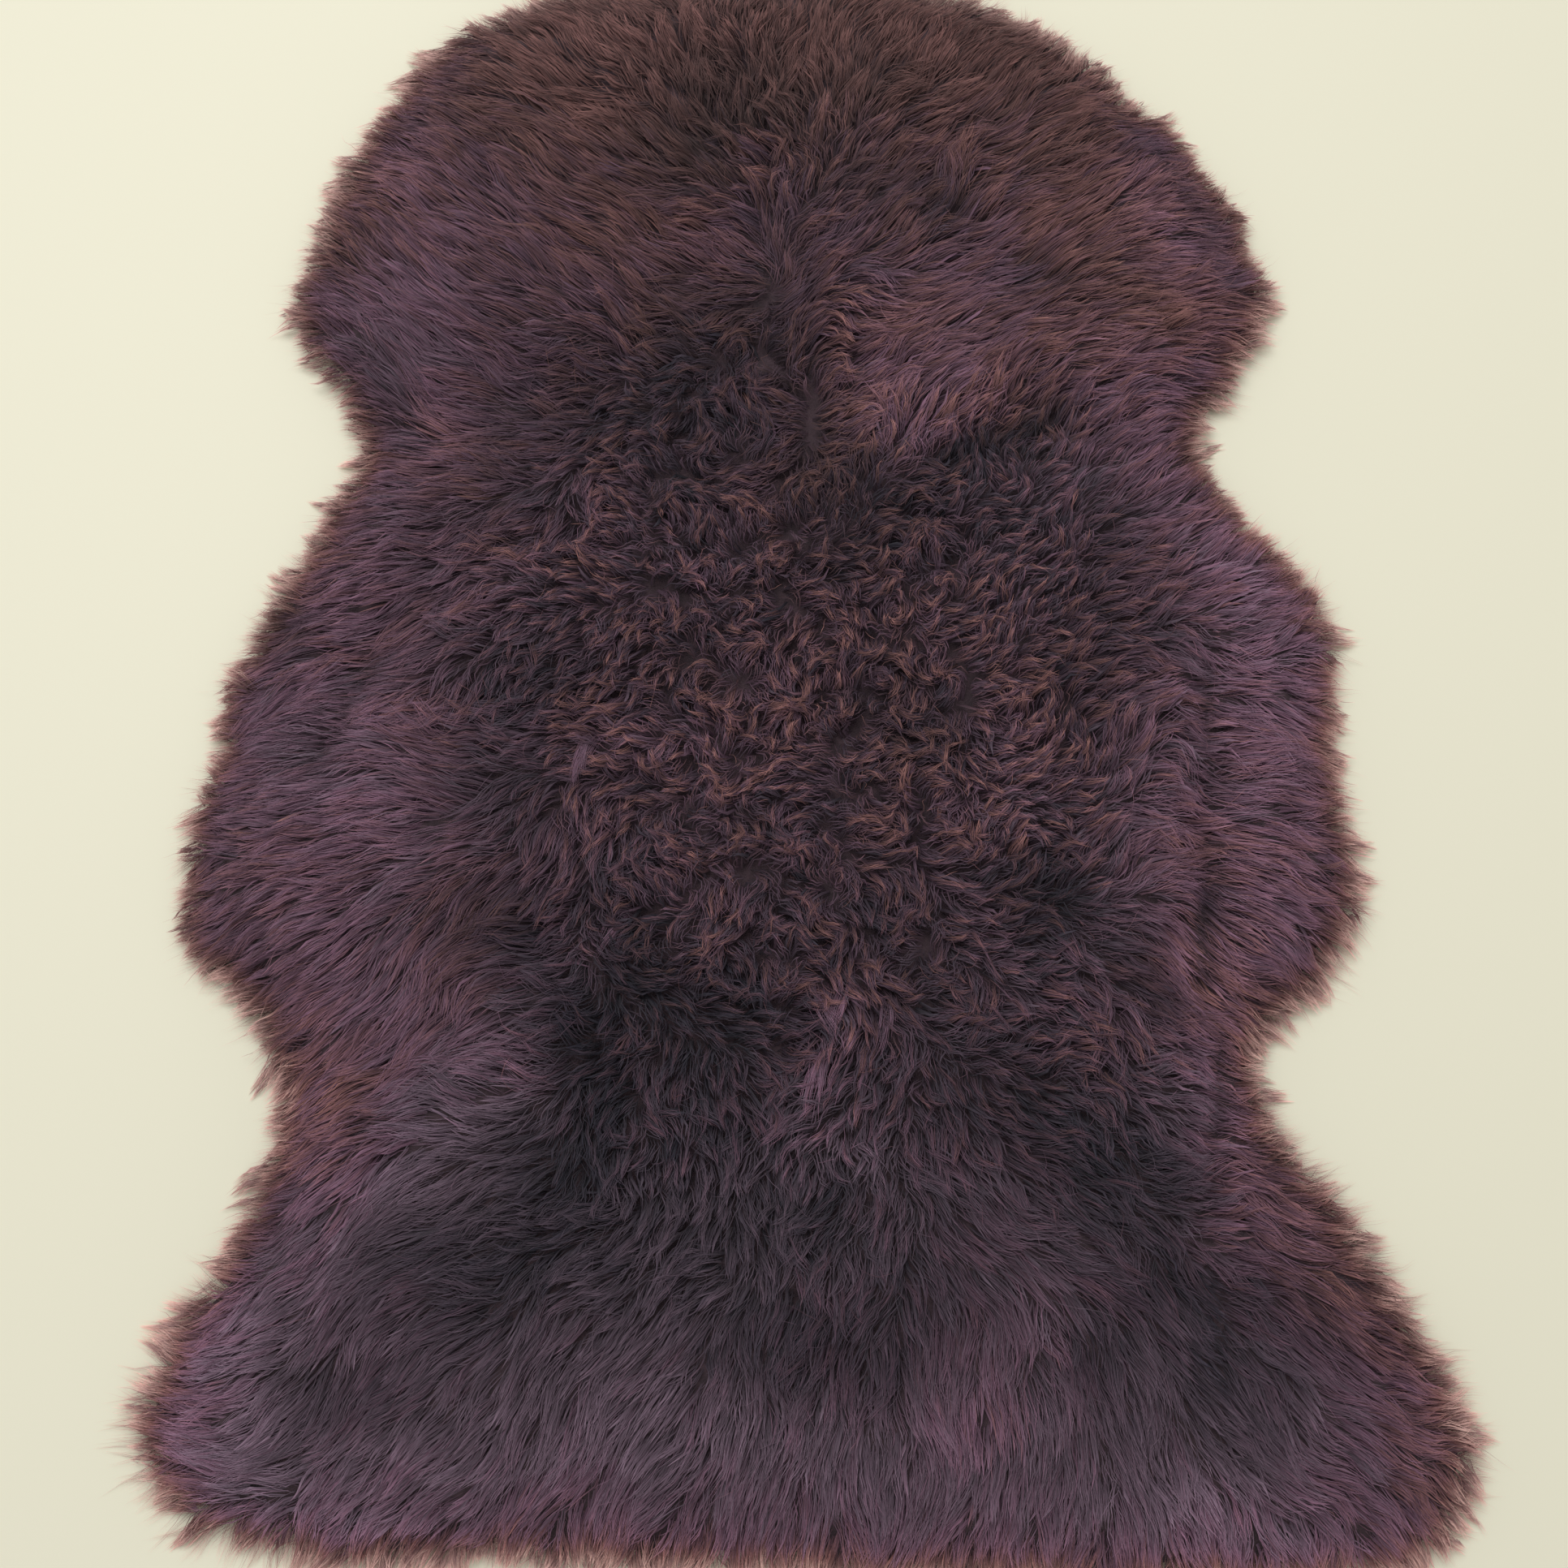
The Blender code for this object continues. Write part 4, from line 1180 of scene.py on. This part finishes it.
fill = clumps_at(rng, gaps, mm(22, 30))
batches.append(locks(rng, fill, gaps, INFILL, np.arange(len(gaps)), pull=(0, 0.1)))
astray = scattered(rng, 13.0 * MM, 6 * MM)
loose = clumps_at(rng, astray, mm(28, 46), loose=3.5)
batches.append(locks(rng, loose, astray, FLYAWAY, np.arange(len(astray)), pull=(0, 0.1)))
wool = strand_meshes(batches, wool_material())

for piece in [hide, undercoat, *wool]:
    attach(piece, "root")
    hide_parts("pelt")

# Stage, light and camera

FLOOR_HALF = 6.0
FLOOR_COLOUR = (0.80, 0.785, 0.645, 1)
SKY_COLOUR = (1.0, 0.98, 0.93, 1)
SKY_STRENGTH = 0.60
WINDOW_PLACE = Vector((-0.5, 1.0, 2.5))
WINDOW_SIZE = 2.0
WINDOW_POWER = 38
WINDOW_COLOUR = (1.0, 0.99, 0.97)
CAMERA_TARGET = Vector((-10.74 * MM, -42.3 * MM, 0))
CAMERA_ELEVATION = math.radians(78)
CAMERA_DISTANCE = 1.045
SENSOR = 36
IMAGE_SIDE = 1932
FOCAL_PIXELS = 2300

floor_mesh = bpy.data.meshes.new("floor")
corners = [(x * FLOOR_HALF, y * FLOOR_HALF, 0) for x, y in ((-1, -1), (1, -1), (1, 1), (-1, 1))]
floor_mesh.from_pydata(corners, [], [(0, 1, 2, 3)])
floor_look, floor_shader = new_material("pale_floor")
set_inputs(floor_shader, Base_Color=FLOOR_COLOUR, Roughness=0.6)
floor = placed(floor_mesh, floor_look)

world = bpy.data.worlds.new("studio")
bpy.context.scene.world = world
world.use_nodes = True
set_inputs(world.node_tree.nodes["Background"], Color=SKY_COLOUR, Strength=SKY_STRENGTH)

window_data = bpy.data.lights.new("window", "AREA")
window_data.shape = "DISK"
window_data.size = WINDOW_SIZE
window_data.energy = WINDOW_POWER
window_data.color = WINDOW_COLOUR
window = placed(window_data)
window.location = WINDOW_PLACE
window.rotation_mode = "QUATERNION"
window.rotation_quaternion = (-WINDOW_PLACE).to_track_quat("-Z", "Y")

camera_data = bpy.data.cameras.new("camera")
camera_data.sensor_width = SENSOR
camera_data.lens = SENSOR * FOCAL_PIXELS / IMAGE_SIDE
camera = placed(camera_data)
ahead = Vector((0, math.cos(CAMERA_ELEVATION), -math.sin(CAMERA_ELEVATION)))
camera.location = CAMERA_TARGET - ahead * CAMERA_DISTANCE
camera.rotation_euler = (math.radians(90) - CAMERA_ELEVATION, 0, 0)
bpy.context.scene.camera = camera
bpy.context.scene.view_settings.view_transform = "Standard"

bpy.context.view_layer.update()
